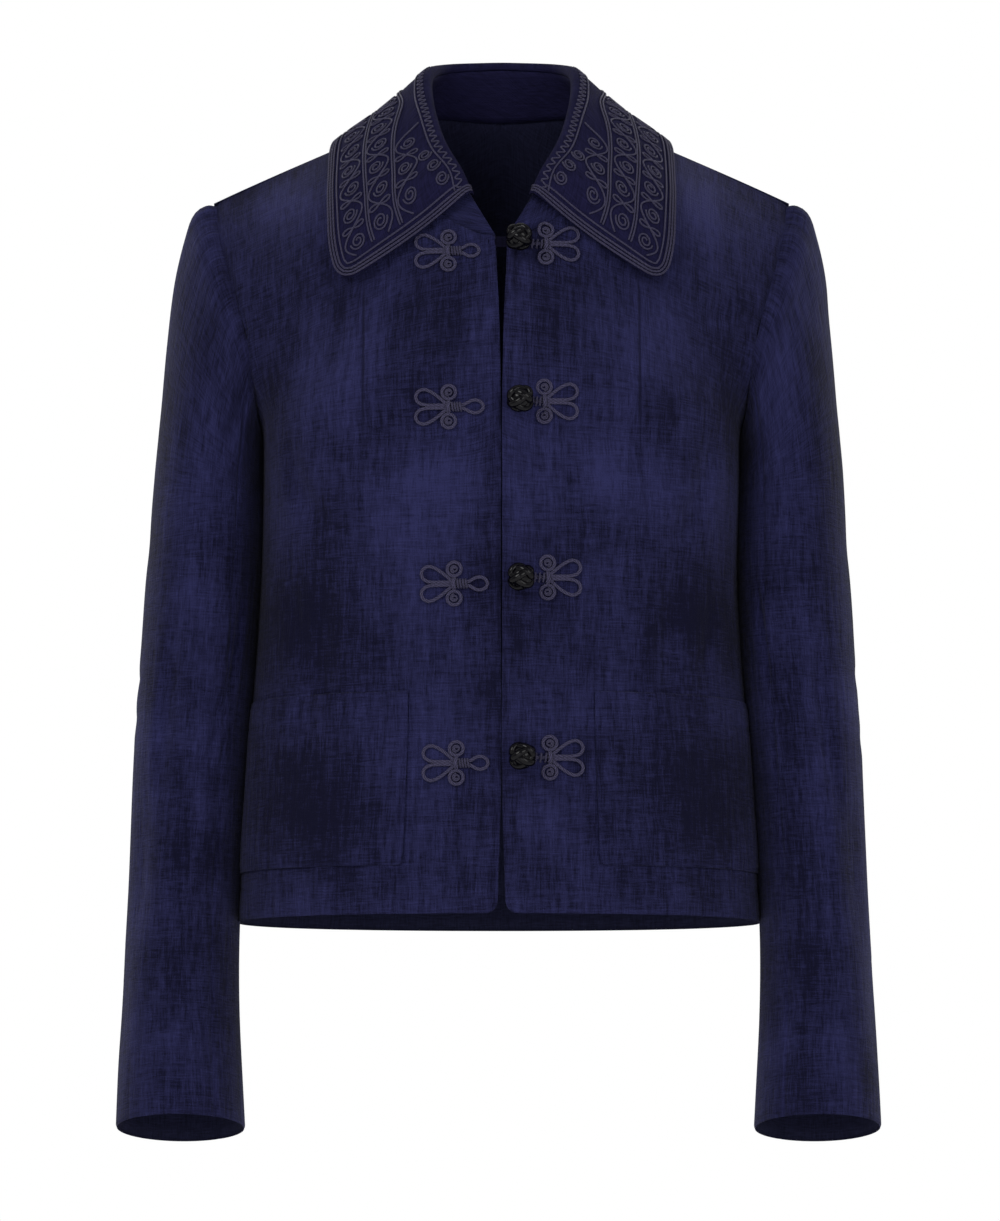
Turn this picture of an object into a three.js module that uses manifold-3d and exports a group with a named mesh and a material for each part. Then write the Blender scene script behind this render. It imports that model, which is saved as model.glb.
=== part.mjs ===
// Frog-closure jacket in its worn form: two fronts that meet edge to edge, a one-piece back, two-piece
// sleeves, a collar with stand and fall, two patch pockets and four braided frogs with ball knots.
// Millimetres, +Z up, front towards -Y, +X at the wearer's left. The origin lies midway between the
// two side neck points, where the jacket hangs on the shoulders.

import * as THREE from "three";
import Module from "manifold-3d";

const wasm = await Module();
wasm.setup();

// Driving dimensions
const clothWall = 2;
const collarWall = 3;
const pocketWall = 1.5;
const bandWall = 1.4;
const seamGap = 0.3;
const layerGap = 0.4; // under a pocket or an edge band
const hemZ = -537;
const pocketBottomZ = -506;
const pocketTopZ = -395;
const underarmZ = -212;
const neckFrontZ = -93;
const neckBackZ = 10;
const hemCornerCut = 2.4;
const ballRadius = 9.8;
const braidWide = 2.4;
const braidHigh = 2;

// Finishes
const jacketCloth = { color: 0x23224a, roughness: 0.9 };
const collarCloth = { color: 0x1d1c3c, roughness: 0.9 };
const mattBraid = { color: 0x302d3d, roughness: 0.85 };
const knotSatin = { color: 0x101016, roughness: 0.35 };

// How finely the pieces are divided
const panelColumns = 12;
const centreCrowding = 1.12; // over 1 sets the columns closer together towards the centre
const armholeSteps = 13;
const frontNeckSteps = 7;
const backNeckSteps = 5;
const pocketColumn = 3;
const pocketRows = [1, 3]; // rows of the body's grid that the pocket's lower and upper edge follow
const waistRow = 4;
const eveningRounds = 4;
const eveningShare = 0.6;
const petalSteps = 9;
const coilSteps = 8;
const loopSteps = 11;
const ballSides = 12;
const ballRings = 8;
const fallShares = [0.2, 0.42, 0.66, 0.91, 1]; // rows of the fall, roll to free edge
const rollArc = [0, 1 / 3, 2 / 3, 1]; // rows round the roll

// Heights of the body's rows, hem to underarm
const bodyHeights = [
  hemZ, pocketBottomZ, -450, pocketTopZ, -345, -298, -254, underarmZ,
];

// Level sections below the underarm: half the width at the side seams, and how square the corners
// are in front and behind, where 0.55 is round and 1 is square.
const bodyLevels = [
  { z: hemZ, side: 176, frontSquare: 0.62, backSquare: 0.6 },
  { z: -450, side: 170, frontSquare: 0.62, backSquare: 0.6 },
  { z: -350, side: 163.5, frontSquare: 0.64, backSquare: 0.62 },
  { z: -280, side: 160, frontSquare: 0.72, backSquare: 0.7 },
  { z: underarmZ, side: 160, frontSquare: 0.83, backSquare: 0.82 },
];

// Centre lines: half the gap between the fronts, and the front's and the back's depth.
const centreLines = [
  { z: hemZ, gap: 2.7, front: -125, back: 105 },
  { z: -458, gap: 0.35, front: -121, back: 98 },
  { z: -350, gap: 0.35, front: -118, back: 90 },
  { z: -270, gap: 0.35, front: -124, back: 92 },
  { z: underarmZ, gap: 0.35, front: -127, back: 98 },
  { z: -150, gap: 1.5, front: -116, back: 100 },
  { z: neckFrontZ, gap: 3.8, front: -96, back: 95 },
  { z: -40, gap: 3.8, front: -90, back: 84 },
  { z: neckBackZ, gap: 3.8, front: -80, back: 62 },
];
const chestSwellZ = -330; // where the rows begin to swell towards the chest

// Seam lines on the wearer's left side. Each armhole half runs from the underarm to the shoulder tip,
// and each neckline half from its centre to the side neck point.
const armholeFront = [
  { x: 160, y: 0, z: underarmZ },
  { x: 161.5, y: -30, z: -208 },
  { x: 164, y: -51, z: -190 },
  { x: 167, y: -59, z: -168 },
  { x: 171, y: -56, z: -147 },
  { x: 177, y: -48, z: -126 },
  { x: 184, y: -34, z: -101 },
  { x: 190, y: -16, z: -74 },
  { x: 193, y: 3, z: -55 },
];
const armholeBack = [
  { x: 160, y: 0, z: underarmZ },
  { x: 161.5, y: 28, z: -209 },
  { x: 165, y: 48, z: -194 },
  { x: 170, y: 62, z: -172 },
  { x: 175, y: 66, z: -148 },
  { x: 181, y: 58, z: -118 },
  { x: 188, y: 36, z: -86 },
  { x: 192, y: 18, z: -66 },
  { x: 193, y: 3, z: -55 },
];
const necklineFront = [
  { x: 3.8, y: -96, z: neckFrontZ },
  { x: 28, y: -93, z: -85 },
  { x: 52, y: -78, z: -62 },
  { x: 66, y: -45, z: -30 },
  { x: 70, y: 5, z: 0 },
];
const necklineBack = [
  { x: 0, y: 62, z: neckBackZ },
  { x: 26, y: 59, z: 11 },
  { x: 48, y: 47, z: 11 },
  { x: 64, y: 27, z: 7 },
  { x: 70, y: 5, z: 0 },
];

// How the rows above the underarm leave the centre (in) and reach the armhole (out), by their share
// of the armhole: 0 at the underarm, 1 at the shoulder seam.
const frontReach = [
  { at: 0, inX: 133, inY: -5, inZ: 0, outX: 0, outY: -105, outZ: 0 },
  { at: 0.25, inX: 80, inY: -8, inZ: -5, outX: -10, outY: -46, outZ: 1 },
  { at: 0.5, inX: 52, inY: -6, inZ: -10, outX: -34, outY: -24, outZ: 8 },
  { at: 0.75, inX: 40, inY: -6, inZ: -14, outX: -34, outY: -14, outZ: 13 },
  { at: 1, inX: 40, inY: 1, inZ: -16, outX: -40, outY: 0, outZ: 19 },
];
const backReach = [
  { at: 0, inX: 131, inY: 2, inZ: 0, outX: 0, outY: 80, outZ: 0 },
  { at: 0.25, inX: 88, inY: 4, inZ: -5, outX: -12, outY: 44, outZ: 2 },
  { at: 0.5, inX: 60, inY: 6, inZ: -12, outX: -36, outY: 24, outZ: 12 },
  { at: 0.75, inX: 42, inY: 10, inZ: -16, outX: -36, outY: 16, outZ: 16 },
  { at: 1, inX: 40, inY: 1, inZ: -16, outX: -40, outY: 0, outZ: 19 },
];

// Sleeve sections below the sleeve head, and the cuff's slant, lower at the back.
const sleeveTopZ = -260;
const cuffZ = -676;
const cuffSlant = -0.17;
const cuffMiddleY = -18;
const slantTopZ = -520;
const sleeveRings = [
  { z: cuffZ, x: 216, y: -18, wide: 41, deep: 48 },
  { z: -590, x: 217.5, y: -13, wide: 36.5, deep: 49 },
  { z: -523, x: 215, y: -9, wide: 35, deep: 50 },
  { z: -430, x: 210, y: -4, wide: 37, deep: 52 },
  { z: -348, x: 204, y: 0, wide: 38, deep: 55 },
  { z: sleeveTopZ, x: 198, y: 2, wide: 36.3, deep: 59 },
];
const sleeveHeights = [-305, -350, -395, -440, -480, -520, -560, -600, -640, cuffZ];
const headRows = 6;

// How the sleeve head leaves the armhole (out) and comes down on the first ring (drop), by the turn
// round the sleeve: 0 at the underarm, 0.25 in front, 0.5 at the shoulder tip, 0.75 behind.
const headReach = [
  { at: 0, outX: 1, outY: 0, outZ: -12, drop: 14 },
  { at: 0.125, outX: 5, outY: -4, outZ: -8, drop: 24 },
  { at: 0.25, outX: 12, outY: -8, outZ: -4, drop: 50 },
  { at: 0.375, outX: 18, outY: -5, outZ: 2, drop: 90 },
  { at: 0.5, outX: 24, outY: 0, outZ: 5, drop: 128 },
  { at: 0.625, outX: 18, outY: 5, outZ: 2, drop: 90 },
  { at: 0.75, outX: 12, outY: 7, outZ: -4, drop: 50 },
  { at: 0.875, outX: 5, outY: 4, outZ: -8, drop: 24 },
  { at: 1, outX: 1, outY: 0, outZ: -12, drop: 14 },
];
const frontSleeveSeam = 4;
const backSleeveSeam = 22;

// Soft folds in the sleeves: turn and height of the middle, half width in turns, half length, depth.
const sleeveFolds = [
  { turn: 0.3, z: -405, across: 0.05, along: 40, depth: -2.2 },
  { turn: 0.38, z: -505, across: 0.045, along: 45, depth: -2.4 },
  { turn: 0.45, z: -590, across: 0.05, along: 40, depth: -2 },
  { turn: 0.72, z: -440, across: 0.06, along: 50, depth: -2.4 },
];

// Collar. The roll line is the stand's top edge, from its front end to the centre back.
const rollLine = [
  { x: 23, y: -89, z: -61 },
  { x: 37, y: -73, z: -37 },
  { x: 45, y: -51, z: -16 },
  { x: 50, y: -22, z: 10 },
  { x: 49, y: 8, z: 31 },
  { x: 36, y: 40, z: 41 },
  { x: 0, y: 54, z: 45 },
];
const rollRadius = 1;
const rollGap = 0.4; // from the stand's top edge to the fall's foot
const rollFoot = 1; // straight rise of the fall before it turns over
const rollSlopeStep = 0.01; // share of the roll line over which its direction is read
// The fall's free edge, by the share of the roll line: its place, how far the roll turns over, and how
// the cloth leaves the roll (reach) and comes to the edge (end).
const fallEdge = [
  { at: 0, x: 107, y: -92, z: -114, turn: 108, reach: 38, endX: -28, endY: -16, endZ: 14 },
  { at: 0.07, x: 112, y: -87, z: -104, turn: 124, reach: 32, endX: -28, endY: -13, endZ: 15 },
  { at: 0.2, x: 115, y: -69.5, z: -74, turn: 150, reach: 22, endX: -24, endY: -12, endZ: 18 },
  { at: 0.35, x: 116, y: -39.5, z: -43, turn: 155, reach: 20, endX: -22, endY: -8, endZ: 20 },
  { at: 0.5, x: 113, y: -1, z: -15, turn: 158, reach: 18, endX: -22, endY: -1, endZ: 18 },
  { at: 0.65, x: 98, y: 46, z: -10, turn: 156, reach: 20, endX: -17, endY: -9, endZ: 18 },
  { at: 0.82, x: 60, y: 78, z: -19, turn: 158, reach: 22, endX: -6, endY: -6, endZ: 24 },
  { at: 1, x: 0, y: 83, z: -24, turn: 160, reach: 24, endX: 0, endY: -3, endZ: 26 },
];
const tipDrawnIn = 0.28; // how far the fall's corner is drawn in, for its round tip
const bandWide = 8; // the three rows of braid along the fall's edges
const bandMostShare = 0.6; // of a column's width, where the columns stand close together
const bandInset = 0.6;
const pocketInset = 0.8;

// Walls
const mitreLeast = 0; // cosine of the sharpest fold that a seam is mitred over
const rimLean = 1 / 7; // how much a point's depth counts beside its height on a rim

// Frogs. x and z place the wrapped node of each half. inward is how far the loop reaches from its node
// towards the front edge, and stem the distance from the other node to the ball's centre.
const frogs = [
  { loopX: -34.5, loopZ: -104, ballX: 28.8, ballZ: -99.2, inward: 41, stem: 17.5 },
  { loopX: -34.1, loopZ: -210.5, ballX: 27.6, ballZ: -207, inward: 23.5, stem: 16.3 },
  { loopX: -30.4, loopZ: -325.5, ballX: 29.6, ballZ: -321.5, inward: 22.5, stem: 16.9 },
  { loopX: -29, loopZ: -442.5, ballX: 31, ballZ: -439, inward: 21.5, stem: 17.9 },
];
const petalLong = 21;
const petalHalfWide = 3.9;
const petalRise = 8;
const coilRadius = 4.4;
const coilRise = 9.6;
const loopHalfWide = 4.2;
const wrapHalf = 5.8;
const wrapWide = 4.6;
const wrapHigh = 2.8;
const openEnd = 0.48; // how far a teardrop's two ends stay from its point, in radians of its run
const stemShort = 5.6;
const edgeKeep = 4.4; // the nearest that a place is read to the front's edge

// Smooth values between the rows of a table
function between(table, by, at, name) {
  let i = 0;
  while (i < table.length - 2 && at > table[i + 1][by]) i += 1;
  const slopeAt = (k) => {
    const a = table[Math.max(k - 1, 0)];
    const b = table[Math.min(k + 1, table.length - 1)];
    return (b[name] - a[name]) / (b[by] - a[by]);
  };
  const [a, b] = [table[i], table[i + 1]];
  const span = b[by] - a[by];
  const t = (at - a[by]) / span;
  const t2 = t * t;
  const t3 = t2 * t;
  return (
    (2 * t3 - 3 * t2 + 1) * a[name] +
    (t3 - 2 * t2 + t) * span * slopeAt(i) +
    (3 * t2 - 2 * t3) * b[name] +
    (t3 - t2) * span * slopeAt(i + 1)
  );
}

// A smooth line through a table of points, read by the share of its length
function lineThrough(points) {
  let run = 0;
  const rows = points.map((p, i) => {
    const q = points[Math.max(i - 1, 0)];
    run += Math.hypot(p.x - q.x, p.y - q.y, p.z - q.z);
    return { ...p, run };
  });
  return (share) =>
    new THREE.Vector3(
      ...["x", "y", "z"].map((name) => between(rows, "run", share * run, name)),
    );
}

function moved(p, x, y, z) {
  return new THREE.Vector3(p.x + x, p.y + y, p.z + z);
}

function columnShares(count) {
  return Array.from({ length: count + 1 }, (_, j) => (j / count) ** centreCrowding);
}

// A row of a panel: a cubic curve from the centre to the outer edge
function panelRow(start, leave, arrive, end) {
  const curve = new THREE.CubicBezierCurve3(start, leave, arrive, end);
  return columnShares(panelColumns).map((v) => curve.getPoint(v));
}

// The inner points of the rows from the waist up, evened out between their neighbours
function evened(grid) {
  for (let round = 0; round < eveningRounds; round += 1) {
    const before = grid.map((row) => row.map((p) => p.clone()));
    for (let i = waistRow; i + 1 < grid.length; i += 1) {
      for (let j = 1; j + 1 < grid[i].length; j += 1) {
        const mean = before[i - 1][j].clone().add(before[i + 1][j]);
        mean.add(before[i][j - 1]).add(before[i][j + 1]).divideScalar(4);
        grid[i][j].lerp(mean, eveningShare);
      }
    }
  }
  return grid;
}

function mirrored(grid) {
  return grid.map((row) => row.map((p) => new THREE.Vector3(-p.x, p.y, p.z)));
}

// Half a front or half the back on the wearer's left side, rows from hem to shoulder seam
function halfPanel({ depth, square, gapAtCentre, neckZ, neckSteps, neckline, armhole, reach }) {
  const centre = (z) =>
    new THREE.Vector3(
      gapAtCentre ? between(centreLines, "z", z, "gap") : 0,
      between(centreLines, "z", z, depth),
      z,
    );
  const below = bodyHeights.map((z) => {
    const side = between(bodyLevels, "z", z, "side");
    const full = between(bodyLevels, "z", z, square);
    const start = centre(z);
    const first = reach[0];
    const swell = first.inY * THREE.MathUtils.smoothstep(z, chestSwellZ, underarmZ);
    return panelRow(
      start,
      moved(start, full * side, swell, 0),
      new THREE.Vector3(side, full * start.y, z),
      new THREE.Vector3(side, 0, z),
    );
  });
  const seam = lineThrough(armhole);
  const neck = lineThrough(neckline);
  const lowSteps = armholeSteps - neckSteps;
  const above = Array.from({ length: armholeSteps }, (_, i) => {
    const step = i + 1;
    const at = step / armholeSteps;
    const up = THREE.MathUtils.lerp(underarmZ, neckZ, Math.min(step / lowSteps, 1));
    const start = step <= lowSteps ? centre(up) : neck((step - lowSteps) / neckSteps);
    const end = seam(at);
    const h = (name) => between(reach, "at", at, name);
    return panelRow(
      start,
      moved(start, h("inX"), h("inY"), h("inZ")),
      moved(end, h("outX"), h("outY"), h("outZ")),
      end,
    );
  });
  return evened([...below, ...above]);
}

function frontPanel() {
  const grid = halfPanel({
    depth: "front",
    square: "frontSquare",
    gapAtCentre: true,
    neckZ: neckFrontZ,
    neckSteps: frontNeckSteps,
    neckline: necklineFront,
    armhole: armholeFront,
    reach: frontReach,
  });
  grid[0][0].x += hemCornerCut;
  grid[0][0].z += hemCornerCut;
  return grid;
}

function backHalf() {
  return halfPanel({
    depth: "back",
    square: "backSquare",
    gapAtCentre: false,
    neckZ: neckBackZ,
    neckSteps: backNeckSteps,
    neckline: necklineBack,
    armhole: armholeBack,
    reach: backReach,
  });
}

// A sleeve on the wearer's left side: columns turn from the underarm over the front to the shoulder
// tip and back, rows run from the armhole to the cuff.
function sleeveGrid() {
  const columns = 2 * armholeSteps;
  const seamFront = lineThrough(armholeFront);
  const seamBack = lineThrough(armholeBack);
  const ring = (turn, z) => {
    const at = (name) => between(sleeveRings, "z", z, name);
    const angle = Math.PI + 2 * Math.PI * turn;
    const fold = sleeveFolds.reduce((sum, f) => {
      const across = (turn - f.turn) / f.across;
      const along = (z - f.z) / f.along;
      return sum + f.depth * Math.exp(-across * across - along * along);
    }, 0);
    const x = at("x") + (at("wide") + fold) * Math.cos(angle);
    const y = at("y") + (at("deep") + fold) * Math.sin(angle);
    return new THREE.Vector3(x, y, z);
  };
  const rows = Array.from({ length: headRows + 1 + sleeveHeights.length }, () => []);
  for (let j = 0; j <= columns; j += 1) {
    const turn = j / columns;
    const start = turn <= 0.5 ? seamFront(2 * turn) : seamBack(2 - 2 * turn);
    const end = ring(turn, sleeveTopZ);
    const h = (name) => between(headReach, "at", turn, name);
    const curve = new THREE.CubicBezierCurve3(
      start,
      moved(start, h("outX"), h("outY"), h("outZ")),
      moved(end, 0, 0, h("drop")),
      end,
    );
    for (let i = 0; i <= headRows; i += 1) rows[i].push(curve.getPoint(i / headRows));
    sleeveHeights.forEach((z, i) => {
      const p = ring(turn, z);
      const low = 1 - THREE.MathUtils.smoothstep(z, cuffZ, slantTopZ);
      p.z += low * cuffSlant * (p.y - cuffMiddleY);
      rows[headRows + 1 + i].push(p);
    });
  }
  return rows;
}

// The collar's seam line at the neck and its roll line, column by column from front to centre back
function collarLines() {
  const front = lineThrough(necklineFront);
  const back = lineThrough(necklineBack);
  const roll = lineThrough(rollLine);
  const neck = [];
  for (let k = 0; k <= frontNeckSteps; k += 1) neck.push(front(k / frontNeckSteps));
  for (let k = backNeckSteps - 1; k >= 0; k -= 1) neck.push(back(k / backNeckSteps));
  let run = 0;
  const runs = neck.map((p, i) => (run += i ? p.distanceTo(neck[i - 1]) : 0));
  const shares = runs.map((r) => r / run);
  return { neck, shares, top: shares.map((s) => roll(s)), roll };
}

function standGrid() {
  const { neck, top } = collarLines();
  return [neck, top];
}

// The fall on the wearer's left side. Each column turns over the stand's top edge on a small arc, and
// then runs out to the free edge on a cubic curve.
function fallGrid() {
  const { neck, shares, top, roll } = collarLines();
  const columns = shares.map((share, j) => {
    const along = roll(Math.min(share + rollSlopeStep, 1));
    along.sub(roll(Math.max(share - rollSlopeStep, 0)));
    if (share === 1) along.set(-1, 0, 0);
    along.normalize();
    const up = top[j].clone().sub(neck[j]);
    up.addScaledVector(along, -up.dot(along)).normalize();
    const out = along.clone().cross(up).normalize();
    const at = (name) => between(fallEdge, "at", share, name);
    const turn = THREE.MathUtils.degToRad(at("turn"));
    const centre = top[j].clone().addScaledVector(out, rollRadius).addScaledVector(up, rollGap);
    const radius = rollRadius + collarWall;
    const arc = rollArc.map((done) =>
      centre
        .clone()
        .addScaledVector(out, -radius * Math.cos(done * turn))
        .addScaledVector(up, rollFoot + radius * Math.sin(done * turn)),
    );
    const foot = arc[0].clone().addScaledVector(up, -rollFoot);
    const leave = out
      .clone()
      .multiplyScalar(Math.sin(turn))
      .addScaledVector(up, Math.cos(turn))
      .multiplyScalar(at("reach"));
    const start = arc.at(-1);
    const end = new THREE.Vector3(at("x"), at("y"), at("z"));
    const curve = new THREE.CubicBezierCurve3(
      start,
      start.clone().add(leave),
      moved(end, at("endX"), at("endY"), at("endZ")),
      end,
    );
    return [foot, ...arc, ...fallShares.map((v) => curve.getPoint(v))];
  });
  const band = columns[0].map((p, i) => {
    const q = columns[1][i];
    return p.clone().lerp(q, Math.min(bandWide / p.distanceTo(q), bandMostShare));
  });
  columns.splice(1, 0, band);
  columns[0].at(-1).lerp(band.at(-2), tipDrawnIn);
  return columns[0].map((_, i) => columns.map((column) => column[i]));
}

// Surfaces. A patch is a grid of points; turned says that its rows run against the clock.
const keyOf = (p) => [p.x, p.y, p.z].map((c) => Math.round(c * 100)).join(" ");

function surfaceOf(patches) {
  const ids = new Map();
  const points = [];
  const idOf = (p) => {
    const key = keyOf(p);
    if (!ids.has(key)) {
      ids.set(key, points.length);
      points.push(p.clone());
    }
    return ids.get(key);
  };
  const triangles = [];
  patches.forEach(({ grid, turned }) => {
    for (let i = 0; i + 1 < grid.length; i += 1) {
      for (let j = 0; j + 1 < grid[i].length; j += 1) {
        const corners = [grid[i][j], grid[i][j + 1], grid[i + 1][j + 1], grid[i + 1][j]].map(idOf);
        const [a, b, c, d] = turned ? corners.reverse() : corners;
        const across = points[a].distanceTo(points[c]) <= points[b].distanceTo(points[d]);
        if (across) triangles.push([a, b, c], [a, c, d]);
        else triangles.push([a, b, d], [b, c, d]);
      }
    }
  });
  const whole = triangles.filter(([a, b, c]) => a !== b && b !== c && c !== a);
  const normals = points.map(() => new THREE.Vector3());
  const face = new THREE.Vector3();
  whole.forEach((t) => {
    const [a, b, c] = t.map((i) => points[i]);
    face.subVectors(b, a).cross(c.clone().sub(a));
    t.forEach((i) => normals[i].add(face));
  });
  normals.forEach((n) => n.normalize());
  return { points, triangles: whole, normals };
}

function freeEdges(triangles) {
  const edges = new Map();
  triangles.forEach((t) =>
    t.forEach((a, i) => {
      const b = t[(i + 1) % 3];
      if (!edges.delete(`${b} ${a}`)) edges.set(`${a} ${b}`, [a, b, t]);
    }),
  );
  return [...edges.values()];
}

// Pieces that meet at a seam share one direction there, so that their walls meet on a mitre.
function weldSeams(surfaces) {
  const met = new Map();
  surfaces.forEach((surface) =>
    surface.points.forEach((p, i) => {
      const key = keyOf(p);
      if (!met.has(key)) met.set(key, []);
      met.get(key).push(surface.normals[i]);
    }),
  );
  met.forEach((normals) => {
    const groups = [];
    normals.forEach((n) => {
      const group = groups.find((g) => g[0].dot(n) > mitreLeast);
      if (group) group.push(n);
      else groups.push([n]);
    });
    groups.forEach((group) => {
      const mean = group.reduce((sum, n) => sum.add(n), new THREE.Vector3()).normalize();
      const lean = Math.min(...group.map((n) => n.dot(mean)));
      group.forEach((n) => n.copy(mean).divideScalar(lean));
    });
  });
}

// The free edges drawn in along the cloth by the given distance
function drawnIn(surface, distance) {
  const shifts = new Map();
  freeEdges(surface.triangles).forEach(([a, b, t]) => {
    const [p, q, r] = t.map((i) => surface.points[i]);
    const normal = q.clone().sub(p).cross(r.clone().sub(p)).normalize();
    const inward = surface.points[b].clone().sub(surface.points[a]).normalize();
    inward.crossVectors(normal, inward);
    [a, b].forEach((i) => shifts.set(i, (shifts.get(i) ?? new THREE.Vector3()).add(inward)));
  });
  return surface.points.map((p, i) => {
    const shift = shifts.get(i);
    if (!shift) return p;
    return p.clone().addScaledVector(shift, (2 * distance) / Math.max(shift.lengthSq(), 1));
  });
}

// A closed wall between an outer and an inner set of the same points
function wallOf(triangles, outer, inner) {
  const count = outer.length;
  const faces = [];
  triangles.forEach(([a, b, c]) => faces.push(a, b, c, c + count, b + count, a + count));
  // A rim's diagonal leaves its lower end, so that two rims at one seam are split alike.
  const height = (i) => outer[i].z + outer[i].y * rimLean;
  freeEdges(triangles).forEach(([a, b]) => {
    if (height(a) < height(b)) faces.push(b, a, b + count, a, a + count, b + count);
    else faces.push(b, a, a + count, b, a + count, b + count);
  });
  const positions = [...outer, ...inner].flatMap((p) => [p.x, p.y, p.z]);
  return new THREE.BufferGeometry()
    .setAttribute("position", new THREE.Float32BufferAttribute(positions, 3))
    .setIndex(faces);
}

function clothWallOf(surface, thickness) {
  const outer = drawnIn(surface, seamGap / 2);
  const inner = outer.map((p, i) => p.clone().addScaledVector(surface.normals[i], -thickness));
  return wallOf(surface.triangles, outer, inner);
}

// A layer that lies on a surface: the surface's own points moved out, its free edges drawn in
function layerOn(host, patches, thickness, inset) {
  const layer = surfaceOf(patches);
  const normalAt = new Map(host.points.map((p, i) => [keyOf(p), host.normals[i]]));
  layer.normals = layer.points.map((p) => normalAt.get(keyOf(p)));
  const base = drawnIn(layer, inset);
  const raised = (height) =>
    base.map((p, i) => p.clone().addScaledVector(layer.normals[i], height));
  return wallOf(layer.triangles, raised(layerGap + thickness), raised(layerGap));
}

// A block of a grid, by its first and last row and column
function part(grid, rows, columns) {
  return grid.slice(rows[0], rows[1] + 1).map((row) => row.slice(columns[0], columns[1] + 1));
}

function solidOf(geometry) {
  return new wasm.Manifold(
    new wasm.Mesh({
      numProp: 3,
      vertProperties: geometry.attributes.position.array,
      triVerts: new Uint32Array(geometry.index.array),
    }),
  );
}

// The outer skin of the joined solids, so that no closed void is left where braids cross
function joined(geometries) {
  const whole = geometries.map(solidOf).reduce((sum, solid) => sum.add(solid));
  const mesh = whole.decompose().find((body) => body.volume() > 0).getMesh();
  return new THREE.BufferGeometry()
    .setAttribute("position", new THREE.BufferAttribute(mesh.vertProperties, 3))
    .setIndex(new THREE.BufferAttribute(mesh.triVerts, 1));
}

// Where a line along Y meets the left front's outer face, mirrored for the right front
function onFront(front, x, z) {
  const side = Math.abs(x);
  for (const t of front.triangles) {
    const [a, b, c] = t.map((i) => front.points[i]);
    const area = (b.x - a.x) * (c.z - a.z) - (c.x - a.x) * (b.z - a.z);
    const v = ((side - a.x) * (c.z - a.z) - (c.x - a.x) * (z - a.z)) / area;
    const w = ((b.x - a.x) * (z - a.z) - (side - a.x) * (b.z - a.z)) / area;
    if (v < 0 || w < 0 || v + w > 1) continue;
    const normal = b.clone().sub(a).cross(c.clone().sub(a)).normalize();
    const y = a.y + v * (b.y - a.y) + w * (c.y - a.y);
    return { point: new THREE.Vector3(x, y, z), normal: normal.setX(normal.x * Math.sign(x)) };
  }
  throw new Error(`no front panel at ${x} ${z}`);
}

// A flat braid with a lozenge section along a path of places on the front
function braid(front, path, closed, wide = braidWide, high = braidHigh) {
  const places = path.map(([x, z]) => {
    const inside = Math.max(Math.abs(x), edgeKeep);
    const { point, normal } = onFront(front, x < 0 ? -inside : inside, z);
    return { centre: point.setX(x).addScaledVector(normal, seamGap + high / 2), normal };
  });
  const count = places.length;
  const ring = places.flatMap(({ centre, normal }, i) => {
    const last = closed ? (i + count - 1) % count : Math.max(i - 1, 0);
    const next = closed ? (i + 1) % count : Math.min(i + 1, count - 1);
    const along = places[next].centre.clone().sub(places[last].centre);
    const side = along.cross(normal).normalize();
    return [
      centre.clone().addScaledVector(side, wide / 2),
      centre.clone().addScaledVector(normal, high / 2),
      centre.clone().addScaledVector(side, -wide / 2),
      centre.clone().addScaledVector(normal, -high / 2),
    ];
  });
  const faces = [];
  for (let i = 0; i < (closed ? count : count - 1); i += 1) {
    for (let k = 0; k < 4; k += 1) {
      const a = 4 * i + k;
      const b = 4 * i + ((k + 1) % 4);
      const c = 4 * ((i + 1) % count) + ((k + 1) % 4);
      const d = 4 * ((i + 1) % count) + k;
      faces.push(a, c, b, a, d, c);
    }
  }
  if (!closed) {
    const e = 4 * (count - 1);
    faces.push(0, 1, 2, 0, 2, 3, e + 2, e + 1, e, e + 3, e + 2, e);
  }
  const positions = ring.flatMap((p) => [p.x, p.y, p.z]);
  return new THREE.BufferGeometry()
    .setAttribute("position", new THREE.Float32BufferAttribute(positions, 3))
    .setIndex(faces);
}

// Paths of a frog half, in its own plane: out is the way from the front edge, up is height
function teardrop(reach, halfWide, rise, steps) {
  return Array.from({ length: steps + 1 }, (_, i) => {
    const a = openEnd + ((2 * Math.PI - 2 * openEnd) * i) / steps;
    const along = (1 - Math.cos(a)) / 2;
    return [reach * along, halfWide * Math.sin(a) * Math.sin(a / 2) + rise * along];
  });
}

function coil(rise, steps) {
  return Array.from({ length: steps }, (_, i) => {
    const a = (2 * Math.PI * i) / steps;
    return [coilRadius * Math.cos(a), rise + coilRadius * Math.sin(a)];
  });
}

function frogHalf(front, x, z, inwardPath) {
  const outward = Math.sign(x);
  const place = (path) => path.map(([out, up]) => [x + outward * out, z + up]);
  const wrap = [[0, -wrapHalf], [0, 0], [0, wrapHalf]];
  return joined([
    braid(front, place(wrap), false, wrapWide, wrapHigh),
    braid(front, place(teardrop(petalLong, petalHalfWide, petalRise, petalSteps)), false),
    braid(front, place(teardrop(petalLong, petalHalfWide, -petalRise, petalSteps)), false),
    braid(front, place(coil(coilRise, coilSteps)), true),
    braid(front, place(coil(-coilRise, coilSteps)), true),
    braid(front, place(inwardPath), false),
  ]);
}

// Assembly
const jacket = new THREE.Group();

function add(name, geometry, finish) {
  const mesh = new THREE.Mesh(geometry, new THREE.MeshStandardMaterial(finish));
  mesh.name = name;
  jacket.add(mesh);
}

const front = frontPanel();
const back = backHalf();
const sleeve = sleeveGrid();
const stand = standGrid();
const fall = fallGrid();

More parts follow.
